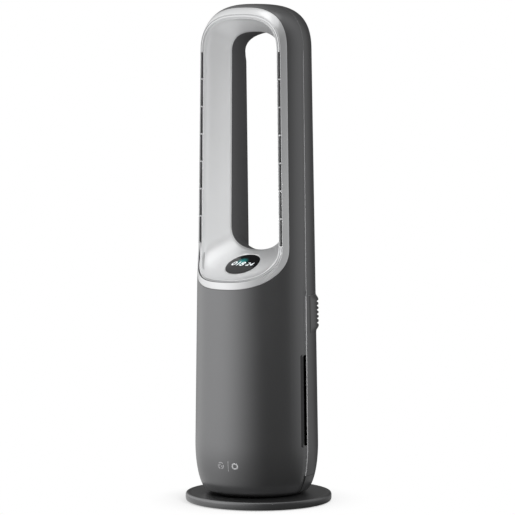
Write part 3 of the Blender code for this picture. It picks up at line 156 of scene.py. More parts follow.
# Display and the numbers on it
DISPLAY_RADIUS = 38
DISPLAY_Y = -50.6
DISPLAY_RISE = 0.3
DISPLAY_DEPTH = 1.9
WINDOW_REACH = 12
NUMBER_SLANT = 0.25
NUMBER_DEPTH = 0.04
NUMBER_LIFT = 0.05
GLOW_PLACE = (-0.007, 0.009, 0.0)
GLOW_REACH = 0.017

# Marks low on the front: their middle, the underside and top of the print, and their parts
MARK_PLACE = (18.6, 90)
MARK_LIFTS = (0.03, 0.12)
SWIRL_X = -18
SWIRL_RADII = (3.8, 7.6)
SWIRL_STROKE = 2
SWIRL_SPAN = 95
WHEEL_X = 14.5
WHEEL_RADII = (3.8, 7.2)
DIVIDER_HALF = 0.5
DIVIDER_ENDS = (-12, 10)

# Side slots and the recess in front of each
SLOT_LOW = 128
SLOT_HIGH = 318
SLOT_EDGE = -6.4
SCOOP_EDGE = -19.4
SCOOP_DEPTH = 1.7
SCOOP_SLANT = 8
SCOOP_STEP = 0.8
# Least half width of the recess faces that take painted shade
SCOOP_SIDE = 90

# Rear cover and tub, with angles in degrees from the right
SKIRT_TOP = 61.7
COVER_BOTTOM = 62.3
COVER_TOP = 441.7
VENT_ROWS = 6
VENT_COLUMNS = 4
VENT_BOTTOM = 130
VENT_PITCH = 34
VENT_HEIGHT = 12
VENT_HALF_ANGLE = 7.2
VENT_ANGLE = 24
BAR_COUNT = 6
BAR_HALF_ANGLE = 0.32
BAR_OVERLAP = 0.6
BAR_FRONT = -0.5
BAR_BACK = -1.9
# Dark sheet of painted shade behind the windows: end turns, gap behind the wall and thickness
SHADE_SHEET_END = 6
SHADE_SHEET_GAP = 1.5
SHADE_SHEET_WALL = 0.6
NECK_HOLE = 58.3
TUB_FLOOR = 3
TUB_FLOOR_INSET = 2.7
TUB_FLOOR_FLARE = 0.8

# Grip band round the rear cover
GRIP_LOW = 362.5
GRIP_HIGH = 441.3
GRIP_SLOPE = 12
GRIP_HEIGHT = 5.6
GRIP_EDGE = 0.4
GRIP_END = 9
GRIP_FINE = 30
GRIP_RUN = 23
GROOVE_FIRST = 379.2
GROOVE_PITCH = 9.1
GROOVE_COUNT = 6
GROOVE_DEPTH = 3.1
GROOVE_HALF = 0.36
GROOVE_POWER = 2.6
GROOVE_START = 11
GROOVE_RUN = 12

# Base
BASE_EDGE = 149
RIM_MIDDLE = 10.15
RIM_HALF = 8.6
RIM_BULGE = 6
RIM_POWER = 3.2
RIM_WALL = 2.5
DIP_EDGE = 141
DIP_LEVEL = 18.55
DIP_RISE = 1.2
NECK_EDGE = 62.6
COVER_UNDERSIDE = 16.2
FOOT_CIRCLE = 125
FOOT_RADIUS = 9
FOOT_HEIGHT = 1.2

# Filter
PLEATS = 88
PLEAT_STEPS = 14
PLEAT_MIDDLE = 78.6
PLEAT_HALF = 15.2
PLEAT_SHARPNESS = 0.985
PAPER = 0.6

# Points along the outlines and the shells
CURVE_SAMPLES = 400
CORNER_STEPS = 36
SIDE_STEPS = 40
LOOP_STEPS = 2 * (2 * CORNER_STEPS + SIDE_STEPS)
FOOT_STEPS = 14
FOOT_LEVEL = 100
SHELL_STEPS = [4, 1, 24, 1, 18]
FRONT_STEPS = [6, 6, 8]
SKIN_STEPS = 14
WELD = 0.005
SHARP_ANGLE = 50


# Surfaces and outlines of the tower

def tower_radius(z):
    """Radius at a height: a straight taper, drawn in by a quarter ellipse at the foot."""
    straight = TOWER_RADIUS - TAPER * (z - RADIUS_LEVEL)
    drop = np.clip((FOOT_ROUND_TOP - z) / FOOT_ROUND_DROP, 0, 1)
    return straight - FOOT_INSET * (1 - np.sqrt(1 - drop ** 2))


def tower_centre(z):
    """Depth of the centre at a height, because the tower leans slightly forward."""
    return -LEAN * z


def top_height(y):
    """Height of the top at a depth: level at the crest, falling with the cube of the distance."""
    front = np.clip((-y - CREST) / (FRONT_PLANE - CREST), 0, 1)
    rear = np.clip((y + CREST) / (REAR_PLANE + CREST), 0, 1)
    return HEIGHT - FRONT_DROP * front ** 3 - REAR_DROP * rear ** 3


def chord(y, z):
    """Half width of the tower at a depth and height."""
    return np.sqrt(tower_radius(z) ** 2 - (y - tower_centre(z)) ** 2)


def front_depth(x, z, sunk=0.0):
    """Depth of the tower's front surface, sunk by some distance."""
    return tower_centre(z) - np.sqrt(np.maximum((tower_radius(z) - sunk) ** 2 - x ** 2, 0))


def rear_depth(x, z):
    """Depth of the rear surface, which is flat behind the top bar."""
    natural = tower_centre(z) + np.sqrt(np.maximum(tower_radius(z) ** 2 - x ** 2, 0))
    flat = REAR_PLANE + FLAT_RELEASE * smooth((DOME_START - z) / FLAT_RUN)
    return np.minimum(natural, flat)


def smooth(share):
    """Share of a step, eased at both ends by a cubic."""
    share = np.clip(share, 0, 1)
    return share * share * (3 - 2 * share)


def face_depth(x, z):
    """Depth of the ring's front face: flat up the sides, following the tower round the bottom."""
    blend = smooth((RING_SIDE - z) / RING_BLEND)
    return -FRONT_PLANE * (1 - blend) + front_depth(x, z, RING_RECESS) * blend


def xyz(x, y, z):
    """Points from their coordinates, each an array or one number for all."""
    return np.stack(np.broadcast_arrays(x, y, z), axis=-1)


def quarter(half, rise, power, steps):
    """Quarter of a superellipse, from the middle of its top outward by half and down by rise.

    The points lie at even lengths along it.
    """
    angle = np.linspace(0, math.pi / 2, CURVE_SAMPLES)
    x = half * np.sin(angle) ** (2 / power)
    z = rise * np.cos(angle) ** (2 / power) - rise
    length = np.append(0, np.cumsum(np.hypot(np.diff(x), np.diff(z))))
    even = np.linspace(0, length[-1], steps + 1)
    return np.interp(even, length, x), np.interp(even, length, z)


def dome(y):
    """Half of the dome's section at a depth, from the middle of the top down to the sides."""
    x, z = quarter(chord(y, DOME_START), top_height(y) - DOME_START, DOME_POWER, CORNER_STEPS)
    return x, top_height(y) + z


def loop_outline(half_top, half_bottom, top, bottom, top_corner, bottom_corner):
    """Closed outline: two corners above, straight sides and two corners below.

    A corner is (height, superellipse power). The outline starts at the middle of the top.
    """
    x_up, z_up = quarter(half_top, *top_corner, CORNER_STEPS)
    x_low, z_low = quarter(half_bottom, *bottom_corner, CORNER_STEPS)
    share = np.linspace(0, 1, SIDE_STEPS + 1)[1:-1]
    side_top = top + z_up[-1]
    side_bottom = bottom - z_low[-1]
    x = np.concatenate([x_up, half_top + (half_bottom - half_top) * share, x_low[::-1]])
    z = np.concatenate([top + z_up, side_top + (side_bottom - side_top) * share, bottom - z_low[::-1]])
    return np.array([np.concatenate([x, -x[-2:0:-1]]), np.concatenate([z, z[-2:0:-1]])])


def band_course(share):
    """Depth of the band's line at a share, its corners' upper end, its bottom and its corners' power."""
    return (-FRONT_PLANE + (FRONT_PLANE - BAND_DEPTH) * share, RING_SIDE - BAND_LAG * share,
            RING_BOTTOM - BAND_LOW_WIDTH * share, RING_POWER + (BAND_POWER - RING_POWER) * share)


def band_line(share):
    """Closed line round the silver band, from the ring's edge at 0 to the dark shell at 1."""
    y, side, bottom, power = band_course(share)
    top = top_height(y)
    x, z = loop_outline(chord(y, DOME_START), chord(y, side), top, bottom, (top - DOME_START, DOME_POWER),
                        (side - bottom, power))
    straight = (z > side) & (z < DOME_START)
    x = np.where(straight, np.sign(x) * chord(y, z), x)
    return xyz(x, np.where(z > side, y, front_depth(x, z)), z)


# Half widths of the tower at the ring, where its upper and its lower corners start
RING_HALVES = [chord(-FRONT_PLANE, z) for z in (DOME_START, RING_SIDE)]


def ring_outline(inset, low_inset):
    """Outline of the ring's outer edge, drawn in by a distance, and by another one at its bottom."""
    halves = [half - inset for half in RING_HALVES]
    top = top_height(-FRONT_PLANE) - inset
    bottom = RING_BOTTOM + low_inset
    return loop_outline(*halves, top, bottom, (top - DOME_START, DOME_POWER),
                        (RING_SIDE - bottom, RING_POWER))


def ring_line(share):
    """Closed line on the ring's face, from its outer edge at 0 to its inner edge at 1."""
    insets = [JOINT_GAP + (width - JOINT_GAP) * share for width in (RING_WIDTH, RING_LOW_WIDTH)]
    x, z = ring_outline(*insets)
    return xyz(x, face_depth(x, z), z)


def throat_outline():
    """Outline of the loop's narrowest place."""
    halves = [half - COLUMN_WIDTH for half in RING_HALVES]
    return loop_outline(*halves, THROAT_TOP, THROAT_BOTTOM, THROAT_HIGH_CORNER, THROAT_LOW_CORNER)


def throat_depth(z):
    """Depth of the narrowest place at a height."""
    return np.interp(z, (THROAT_BOTTOM, THROAT_TOP), (THROAT_Y_BOTTOM, THROAT_Y_TOP))


# Half widths of the rear opening, which is wider than the narrowest place
REAR_HALVES = [half - COLUMN_WIDTH + spread for half, spread in zip(RING_HALVES, REAR_SPREADS)]


def rear_outline():
    """Outline of the rear opening."""
    return loop_outline(*REAR_HALVES, REAR_TOP, REAR_BOTTOM, REAR_HIGH_CORNER, REAR_LOW_CORNER)


def liner_path(share):
    """Share of the way inward at a share of the depth: a parabola, then straight."""
    if share < LINER_BEND:
        return LINER_STEEP * share ** 2 / (2 * LINER_BEND)
    return 1 - LINER_STEEP * (1 - share)


def liner_line(share):
    """Closed line on the silver inner wall, from the ring at 0 to the throat at 1."""
    front = ring_outline(LINER_INSET, LINER_LOW_INSET)
    throat = throat_outline()
    start = face_depth(*front)
    x, z = front + (throat - front) * liner_path(share)
    return xyz(x, start + (throat_depth(throat[1]) - start) * share, z)


def offset(line, share, distance):
    """Closed line at a share, moved along the surface's normal."""
    step = 0.01
    points = line(share)
    along = line(share + step) - line(share - step)
    around = np.roll(points, -1, axis=0) - np.roll(points, 1, axis=0)
    normal = np.cross(around, along)
    normal /= np.linalg.norm(normal, axis=1, keepdims=True)
    return points + distance * normal


# Mesh tools

def new_item(name, data):
    """Object of its own in the scene."""
    item = bpy.data.objects.new(name, data)
    bpy.context.scene.collection.objects.link(item)
    return item


def evaluated(item):
    """Mesh of an object with its modifiers applied."""
    return bpy.data.meshes.new_from_object(item.evaluated_get(bpy.context.evaluated_depsgraph_get()))


def surface(name, grids, masks=None, facing=None, wall=0.0, bevel=0.0, cap=False, centre_y=AXIS_Y):
    """Piece made of grids of points, welded where they meet.

    masks gives the cells to keep, by the grid's place in the list. facing is the side, -1 for the
    front and 1 for the rear, and the height at which an open surface looks outward. wall is the
    thickness behind the surface, bevel rounds its edges, and cap closes open ends.
    """
    points, cells, count = [], [], 0
    for k, grid in enumerate(grids):
        rows, columns, _ = grid.shape
        index = count + np.arange(rows * columns).reshape(rows, columns)
        quads = np.stack([index[:-1, :-1], index[:-1, 1:], index[1:, 1:], index[1:, :-1]], axis=-1)
        cells.append(quads[masks[k]] if masks and k in masks else quads.reshape(-1, 4))
        points.append(grid.reshape(-1, 3))
        count += rows * columns
    points = (np.concatenate(points) + (0, centre_y, 0)) * MM
    mesh = bpy.data.meshes.new(name)
    mesh.from_pydata(points.tolist(), [], np.concatenate(cells).tolist())
    tidy(mesh, facing, cap, centre_y)
    item = new_item(name, mesh)
    finish_edges(item, wall, bevel)
    return item


def tidy(mesh, facing, cap, centre_y):
    """Weld a mesh, drop its loose points, close it if asked, and turn its faces outward."""
    bm = bmesh.new()
    bm.from_mesh(mesh)
    bmesh.ops.remove_doubles(bm, verts=bm.verts, dist=WELD * MM)
    loose = [vert for vert in bm.verts if not vert.link_faces]
    bmesh.ops.delete(bm, geom=loose, context="VERTS")
    if cap:
        bmesh.ops.holes_fill(bm, edges=bm.edges, sides=0)
    bmesh.ops.recalc_face_normals(bm, faces=bm.faces)
    if facing:
        side, level = facing
        point = Vector((0, side * TOWER_RADIUS + centre_y, level)) * MM
        nearest = min(bm.faces, key=lambda face: (face.calc_center_median() - point).length)
        if nearest.normal.y * side < 0:
            bmesh.ops.reverse_faces(bm, faces=bm.faces)
    bm.to_mesh(mesh)
    bm.free()
    mesh.shade_smooth()


def finish_edges(item, wall, bevel):
    """Give a surface its thickness and rounded edges."""
    if wall:
        step = item.modifiers.new("Wall", "SOLIDIFY")
        step.thickness = wall * MM
        step.offset = -1
        step.use_even_offset = True
    if bevel:
        step = item.modifiers.new("Edges", "BEVEL")
        step.width = bevel * MM
        step.segments = 2
        step.limit_method = "ANGLE"
        step.angle_limit = math.radians(SHARP_ANGLE)
        step = item.modifiers.new("Shading", "WEIGHTED_NORMAL")
        step.weight = 60


def closed_rows(lines):
    """Grid of closed lines, each run back to its start."""
    grid = np.array(lines)
    return np.concatenate([grid, grid[:, :1]], axis=1)


def swept(name, line, profile):
    """Closed ring that carries a closed profile of (share, offset) all round a line."""
    grid = [offset(line, share, distance) for share, distance in profile + profile[:1]]
    return surface(name, [closed_rows(grid)])


def lathe(name, profile, steps=96, centre=(0, 0), bevel=0.0, shift=None, centre_y=AXIS_Y):
    """Closed profile of (radius, height) turned about an upright axis.

    shift gives each point's own centre in depth.
    """
    turn = np.linspace(0, 2 * math.pi, steps + 1)
    radius, z = np.array(profile + profile[:1]).T
    drift = np.zeros(len(z)) if shift is None else np.append(shift, shift[0])
    x = centre[0] + np.outer(radius, np.cos(turn))
    y = centre[1] + np.outer(radius, np.sin(turn)) + drift[:, None]
    return surface(name, [xyz(x, y, z[:, None])], bevel=bevel, centre_y=centre_y)


def cut(item, tool):
    """Take a tool out of a piece for good, and delete the tool."""
    step = item.modifiers.new("Cut", "BOOLEAN")
    step.operation = "DIFFERENCE"
    step.solver = "EXACT"
    step.object = tool
    result = evaluated(item)
    item.modifiers.clear()
    old = item.data
    item.data = result
    bpy.data.meshes.remove(old)
    bpy.data.objects.remove(tool)
    return item


def boxes(name, corners):
    """Closed boxes, each between two corners (low, high)."""
    bm = bmesh.new()
    for pair in corners:
        low, high = [(Vector(corner) + Vector((0, AXIS_Y, 0))) * MM for corner in pair]
        place = Matrix.Translation((low + high) / 2) @ Matrix.Diagonal((*(high - low), 1))
        bmesh.ops.create_cube(bm, size=1, matrix=place)
    mesh = bpy.data.meshes.new(name)
    bm.to_mesh(mesh)
    bm.free()
    return new_item(name, mesh)


def steps_between(knots, counts):
    """Values from the first knot to the last, with a count of steps between each pair."""
    parts = [np.linspace(low, high, count + 1)[1:] for low, high, count in zip(knots, knots[1:], counts)]
    return np.concatenate([knots[:1]] + parts)


def foot_levels(bottom, top, steps):
    """Heights that lie at even turns along the rounding of the foot."""
    turns = np.arcsin(np.minimum((FOOT_ROUND_TOP - np.array([bottom, top])) / FOOT_ROUND_DROP, 1))
    levels = FOOT_ROUND_TOP - FOOT_ROUND_DROP * np.sin(np.linspace(*turns, steps + 1))
    levels[0] = bottom
    return levels


# Silver pieces

def make_outlet_frame():
    """Silver band on the tower's surface, with rounded lips on both sides."""
    lip = [(0.012, -2.4), (0.012, -0.7), (0.018, -0.35), (0.032, -0.1)]
    crown = [(share, 0.0) for share in np.linspace(0.055, 0.945, 9)]
    rim = [(0.966, -0.1), (0.982, -0.35), (0.988, -0.7), (0.988, -2.4)]
    return swept("silver_band", band_line, lip + crown + rim)


def make_outlet_ring():
    """Ring with a bright bead between two fine grooves, and slots up both sides."""
    bead = [(BEAD_START + BEAD_WIDTH * share, RING_GROOVE - BEAD_HEIGHT * math.sin(math.pi * share) ** 0.5)
            for share in np.linspace(0, 1, 11)]
    profile = [(0, RING_DEPTH), (0, 0.5), (0.015, 0.2), (0.04, 0.12), (0.05, RING_GROOVE)] + bead
    profile += [(0.84, RING_GROOVE), (0.85, 0.3), (0.9, 0.12), (0.97, 0.2), (1, 0.6), (1, RING_DEPTH)]
    item = swept("outlet_ring_bead", ring_line, profile)
    pitch = (SLOT_TOP - RING_SIDE + SLOT_RIB) / SLOT_COUNT
    front, back = -FRONT_PLANE - SLOT_REACH, -FRONT_PLANE + SLOT_REACH
    corners = []
    for k in range(SLOT_COUNT):
        low = RING_SIDE + k * pitch
        high = low + pitch - SLOT_RIB
        share = ((low + high) / 2 - RING_SIDE) / (DOME_START - RING_SIDE)
        edge = RING_HALVES[1] * (1 - share) + RING_HALVES[0] * share - JOINT_GAP
        for left, right in ((edge - SLOT_INNER, edge - SLOT_OUTER), (SLOT_OUTER - edge, SLOT_INNER - edge)):
            corners.append(((left, front, low), (right, back, high)))
    return cut(item, boxes("slots", corners))


def floor_place():
    """Place of the display on the loop's floor, whose slope follows from the liner's straight part."""
    start = RING_BOTTOM + LINER_LOW_INSET
    front = float(face_depth(0.0, start))
    slope = LINER_STEEP * (THROAT_BOTTOM - start) / (THROAT_Y_BOTTOM - front)
    level = THROAT_BOTTOM + slope * (DISPLAY_Y - THROAT_Y_BOTTOM)
    shift = Matrix.Translation(Vector((0, DISPLAY_Y + AXIS_Y, level)) * MM)
    return shift @ Matrix.Rotation(math.atan(slope), 4, "X")


def make_inner_liner():
    """Inner wall of the loop, with a round window for the display."""
    lip = [(LINER_START, 0), (0.014, 0.12), (0.006, 0.45), (0.005, 0.8), (0.006, 1.15), (0.014, 1.48)]
    shares = LINER_START + (1 - LINER_START) * np.linspace(0, 1, 24) ** LINER_CROWDING
    outside = [(share, LINER_WALL) for share in shares]
    inside = [(share, 0.0) for share in shares[:0:-1]]
    item = swept("silver_liner", liner_line, lip + outside + inside)
    radius, reach = DISPLAY_RADIUS + JOINT_GAP, WINDOW_REACH
    window = lathe("window", [(0, -reach), (radius, -reach), (radius, reach), (0, reach)], centre_y=0)
    window.data.transform(floor_place())
    return cut(item, window)


def make_display():
    """Polished disc with a rounded edge, a hair proud of the loop's floor."""
    edge, under = DISPLAY_RADIUS, -DISPLAY_DEPTH
    profile = [(0, under), (edge, under), (edge, -0.5), (edge - 0.1, -0.1), (edge - 0.45, 0.2)]
    profile += [(edge - 1.2, DISPLAY_RISE), (0, DISPLAY_RISE)]
    item = lathe("display_glass", profile, centre_y=0)
    item.data.transform(floor_place())
    return item


def make_reading(name, text, size, x):
    """Slanted number across the display's middle, as a thin raised mesh."""
    curve = bpy.data.curves.new(name, "FONT")
    curve.body = text
    curve.size = size * MM
    curve.shear = NUMBER_SLANT
    curve.align_x = "CENTER"
    curve.align_y = "CENTER"
    curve.extrude = NUMBER_DEPTH * MM
    source = new_item(name, curve)
    mesh = evaluated(source)
    bpy.data.objects.remove(source)
    mesh.transform(floor_place() @ Matrix.Translation(Vector((x, 0, DISPLAY_RISE + NUMBER_LIFT)) * MM))
    return new_item(name, mesh)


def on_front(name, shapes):
    """Thin flat marks printed on the front: strips of (inner, outer) points across and up."""
    grids = []
    for lines in shapes:
        rows = []
        for lift in MARK_LIFTS:
            for line in lines:
                x, z = (line + MARK_PLACE).T
                rows.append(xyz(x, front_depth(x, z, -lift), z))
        grids.append(np.stack([rows[k] for k in (0, 1, 3, 2, 0)]))
    return surface(name, grids, cap=True)


def arc(radius, start, end, middle):
    """Points round a place on the front, between two turns in degrees."""
    turns = np.radians(np.linspace(start, end, 25))
    return np.stack([middle + radius * np.cos(turns), radius * np.sin(turns)], axis=-1)


def upright(x):
    """Points up the line between the marks."""
    z = np.linspace(*DIVIDER_ENDS, 9)
    return np.stack([np.full(len(z), x), z], axis=-1)


def make_marks():
    """Two small generic signs with a line between them: moving air, and a filter wheel."""
    inner, outer = SWIRL_RADII
    shapes = []
    for start, radius in ((40, outer), (160, outer), (280, outer), (100, inner), (280, inner)):
        end = start + SWIRL_SPAN
        shapes.append([arc(edge, start, end, SWIRL_X) for edge in (radius - SWIRL_STROKE, radius)])
    shapes.append([arc(radius, 0, 360, WHEEL_X) for radius in WHEEL_RADII])
    shapes.append([upright(x) for x in (-DIVIDER_HALF, DIVIDER_HALF)])
    return on_front("front_marks", shapes)


# Dark shells

def shell_levels(low, high):
    """Heights up the shell: even turns round the foot, then steps past both ends of a slot."""
    knots = [FOOT_LEVEL, low, low + SCOOP_STEP, high - SCOOP_STEP, high, SHELL_LEVEL]
    upper = steps_between(knots, SHELL_STEPS)[1:]
    return np.concatenate([foot_levels(TOWER_BOTTOM, FOOT_LEVEL, FOOT_STEPS), upper])


FRONT_LEVELS = shell_levels(SLOT_LOW + SCOOP_SLANT, SLOT_HIGH - SCOOP_SLANT)
SIDE_LEVELS = shell_levels(SLOT_LOW, SLOT_HIGH)
SLOT_START = FOOT_STEPS + SHELL_STEPS[0]
SLOT_END = SLOT_START + sum(SHELL_STEPS[1:4])
CORNER_SHARES = np.linspace(0, 1, 25)[1:]

# Hole in the front shell, just past the band's outer edge
HOLE_Y, HOLE_SIDE, HOLE_BOTTOM, HOLE_POWER = band_course(1 + BAND_GAP / (FRONT_PLANE - BAND_DEPTH))
HOLE_STEPS = 44


def hoop(y):
    """Section of the front shell at one depth: up one side, over the top and down the other.

    In front of the side slot the surface sinks towards it, between two slanted ends, and all along
    the seam it sinks by a small step.
    """
    blend = np.clip((y - SCOOP_EDGE) / (SLOT_EDGE - SCOOP_EDGE), 0, 1)
    low = FRONT_LEVELS + (SIDE_LEVELS - FRONT_LEVELS) * blend
    corner = SHELL_LEVEL + (HOLE_SIDE - SHELL_LEVEL) * CORNER_SHARES
    side = HOLE_SIDE + (DOME_START - HOLE_SIDE) * CORNER_SHARES
    z = np.concatenate([low, corner, side])
    beside_cover = smooth((SHELL_LEVEL + STEP_FADE - z) / STEP_FADE)
    step = HOUSING_STEP + (COVER_STEP - HOUSING_STEP) * beside_cover
    x = chord(y, z) - step * smooth((y - SEAM_FRONT + STEP_RUN) / STEP_RUN)
    x[SLOT_START + 1:SLOT_END] -= SCOOP_DEPTH * blend
    top_x, top_z = dome(y)
    x = np.concatenate([x, top_x[-2::-1]])
    z = np.concatenate([z, top_z[-2::-1]])
    return xyz(np.concatenate([x, -x[-2::-1]]), y, np.concatenate([z, z[-2::-1]]))


def make_front_shell():
    """Dark front and sides up to the silver band, and on over the top to the seam."""
    depths = steps_between([HOLE_Y, SCOOP_EDGE, SLOT_EDGE, SEAM_FRONT], FRONT_STEPS)
    sides = np.stack([hoop(y) for y in depths], axis=1)
    mask = np.ones((sides.shape[0] - 1, sides.shape[1] - 1), bool)
    slot = sum(FRONT_STEPS[:2])
    mask[SLOT_START:SLOT_END, slot:] = False
    mask[-SLOT_END:-SLOT_START, slot:] = False

    x_edge, z_edge = quarter(chord(HOLE_Y, HOLE_SIDE), HOLE_SIDE - HOLE_BOTTOM, HOLE_POWER, HOLE_STEPS)
    x_edge = np.concatenate([-x_edge[:0:-1], x_edge])
    z_edge = HOLE_BOTTOM - np.concatenate([z_edge[:0:-1], z_edge])
    share = np.arcsin(x_edge / tower_radius(z_edge)) / edge_turn(z_edge)
    low = np.repeat(FRONT_LEVELS[:, None], len(x_edge), axis=1)
    high = SHELL_LEVEL + np.outer(CORNER_SHARES, z_edge - SHELL_LEVEL)
    z = np.concatenate([low, high])
    turn = share * edge_turn(z)
    front = xyz(tower_radius(z) * np.sin(turn), tower_centre(z) - tower_radius(z) * np.cos(turn), z)
    return surface("front_shell_skin", [front, sides], {1: mask}, facing=(-1, 300), wall=WALL, bevel=0.35)


def edge_turn(z):
    """Angle from the front to the depth of the band's hole, about the tower's centre."""
    return np.arccos((tower_centre(z) - HOLE_Y) / tower_radius(z))


def make_rear_housing():
    """Dark rear of the loop: outer skin, flat rear face and the flared inner wall."""
    top = top_height(REAR_PLANE)
    height, power = REAR_LOW_CORNER
    x, z = loop_outline(chord(REAR_PLANE, DOME_START), REAR_HALVES[1] + REAR_LIP, top,
                        REAR_BOTTOM - REAR_LIP, (top - DOME_START, DOME_POWER), (height + REAR_LIP, power))
    rim = xyz(x, rear_depth(x, z), z)

    turn_in = CORNER_STEPS + SIDE_STEPS
    upper = rim[np.arange(turn_in, -turn_in - 1, -1) % LOOP_STEPS]
    across = np.linspace(0, 1, SKIN_STEPS + 1)
    skin = np.stack([rear_section(upper, share) for share in across], axis=1)

    low = rim[turn_in:LOOP_STEPS - turn_in + 1]
    z = low[:, 2] + np.outer(np.linspace(0, 1, 16), SHELL_LEVEL + JOINT_GAP - low[:, 2])
    turn = np.arcsin(low[:, 0] / tower_radius(low[:, 2]))
    below = xyz(tower_radius(z) * np.sin(turn), tower_centre(z) + tower_radius(z) * np.cos(turn), z)
    z = z[:, :1]
    edge = tower_centre(z) + tower_radius(z) * math.cos(turn[0])
    y = edge + (SEAM_REAR - edge) * across
    right = xyz(chord(y, z), y, z)
    left = right * (-1, 1, 1)

    x, z = rear_outline()
    opening = xyz(x, rear_depth(x, z), z)
    face = closed_rows([rim + (opening - rim) * share for share in (0, 0.5, 1)])
    throat_x, throat_z = throat_outline()
    start = throat_depth(throat_z) + REAR_START
    wall = []
    for share in np.linspace(1, 0, 12):
        bow = share ** REAR_FLARE
        depth = start + (opening[:, 1] - start) * share
        wall.append(xyz(throat_x + (x - throat_x) * bow, depth, throat_z + (z - throat_z) * bow))
    return surface("rear_housing_skin", [skin, below, right, left, face, closed_rows(wall)], facing=(1, 460),
                   wall=REAR_WALL, bevel=0.5)


def rear_section(rim, share):
    """Line over the rear skin, from the rim at 0 to the seam at 1."""
    x, y, z = rim.T
    y = y + (SEAM_REAR - y) * share
    x = np.sign(x) * chord(y, np.minimum(z, DOME_START))
    z = z.copy()
    middle = len(x) // 2
    part = slice(middle - CORNER_STEPS, middle + CORNER_STEPS + 1)
    top_x, top_z = dome(y[middle])
    x[part] = np.concatenate([top_x[::-1], -top_x[1:]])
    z[part] = np.concatenate([top_z[::-1], top_z[1:]])
    return xyz(x, y, z)


def half_shell(levels, turns, proud=0.0):
    """Rear half of the tower's surface between the seams: heights by turns from +X in degrees.

    The first and last turns give way to the seam.
    """
    turn, z = np.meshgrid(turns, levels)
    seam = np.degrees(np.arcsin((SEAM_REAR - tower_centre(z)) / tower_radius(z)))
    turn = np.radians(np.clip(turn, seam, 180 - seam))
    radius = tower_radius(z) + proud
    return xyz(radius * np.cos(turn), tower_centre(z) + radius * np.sin(turn), z)


# Middles of the columns of windows in the rear cover, and lower edges of the rows
VENT_TURNS = [90 + VENT_ANGLE * (column - (VENT_COLUMNS - 1) / 2) for column in range(VENT_COLUMNS)]
VENT_LEVELS = [VENT_BOTTOM + row * VENT_PITCH for row in range(VENT_ROWS)]


def make_filter_cover():
    """Rear cover with rows of windows."""
    edges = [middle + side * VENT_HALF_ANGLE for middle in VENT_TURNS for side in (-1, 1)]
    turns = steps_between([0] + edges + [180], [14] + [6, 4] * (VENT_COLUMNS - 1) + [6, 14])
    levels = [level for low in VENT_LEVELS for level in (low, low + VENT_HEIGHT)]
    rows = steps_between(levels + [COVER_TOP], [3, 5] * (VENT_ROWS - 1) + [3, 26])
    rows = np.concatenate([foot_levels(COVER_BOTTOM, FOOT_ROUND_TOP, FOOT_STEPS)[:-1], rows])
    mask = np.ones((len(rows) - 1, len(turns) - 1), bool)
    for low, high in zip(levels[::2], levels[1::2]):
        inside = (rows[:-1] >= low) & (rows[1:] <= high)
        for first, last in zip(edges[::2], edges[1::2]):
            mask[np.ix_(inside, (turns[:-1] >= first - 0.01) & (turns[1:] <= last + 0.01))] = False
    return surface("filter_cover_skin", [half_shell(rows, turns)], {0: mask}, facing=(1, 380), wall=WALL,
                   bevel=0.4)


def make_window_bars():
    """Fine upright bars across the windows of the rear cover."""
    grids = []
    for middle in VENT_TURNS:
        turns = np.linspace(middle - VENT_HALF_ANGLE, middle + VENT_HALF_ANGLE, BAR_COUNT + 2)[1:-1]
        for low in VENT_LEVELS:
            bottom = low - BAR_OVERLAP
            ends = [bottom, bottom + VENT_HEIGHT + 2 * BAR_OVERLAP]
            for turn in turns:
                sides = [turn - BAR_HALF_ANGLE, turn + BAR_HALF_ANGLE]
                outer = half_shell(ends, sides, BAR_FRONT)
                inner = half_shell(ends, sides[::-1], BAR_BACK)
                grids.append(closed_rows(np.concatenate([outer, inner], axis=1)))
    return surface("filter_cover_bars", grids, cap=True, bevel=0.2)


def make_window_shade_sheet():
    """Thin dark sheet close behind the windows of the rear cover: painted shade for the dark inside, which also
    keeps light from showing through them.
    """
    rows = np.linspace(SLOT_LOW - 3, SLOT_HIGH + 8, 12)
    grid = half_shell(rows, np.linspace(SHADE_SHEET_END, 180 - SHADE_SHEET_END, 57), -WALL - SHADE_SHEET_GAP)
    return surface("filter_cover_shade_sheet", [grid], facing=(1, 200), wall=SHADE_SHEET_WALL)


def make_cover_grip():
    """Raised band round the rear cover, rising by a quarter sine from both seams, with grooves.

    It swells smoothly at its lower and upper ends. A groove is a superellipse notch.
    """
    z = np.linspace(GRIP_LOW, GRIP_HIGH, 159)
    swell = smooth(np.minimum(z - GRIP_LOW, GRIP_HIGH - z) / GRIP_SLOPE)
    place = (z - GROOVE_FIRST) / GROOVE_PITCH
    nearest = place - np.clip(np.round(place), 0, GROOVE_COUNT - 1)
    notch = np.clip(1 - (np.abs(nearest) / GROOVE_HALF) ** GROOVE_POWER, 0, 1) ** 0.6
    fine = GRIP_END + GRIP_FINE
    lines = []
    for turn in steps_between([GRIP_END, fine, 180 - fine, 180 - GRIP_END], [30, 34, 30]):
        inside = min(turn - GRIP_END, 180 - GRIP_END - turn)
        raised = GRIP_EDGE + (GRIP_HEIGHT - GRIP_EDGE) * math.sin(math.pi / 2 * min(inside / GRIP_RUN, 1))
        depth = GROOVE_DEPTH * smooth((inside - GROOVE_START) / GROOVE_RUN)
        radius = tower_radius(z) + JOINT_GAP + (raised - JOINT_GAP) * swell - depth * notch
        angle = math.radians(turn)
        lines.append(xyz(radius * math.cos(angle), tower_centre(z) + radius * math.sin(angle), z))
    return surface("cover_grip_ribs", [closed_rows(lines)], cap=True)


def make_lower_tub():
    """Rear skirt of the tower, below the cover."""
    skirt = half_shell(foot_levels(TOWER_BOTTOM, SKIRT_TOP, 10), np.linspace(0, 180, 61))
    return surface("lower_tub_skirt", [skirt], facing=(1, 45), wall=WALL, bevel=0.35)


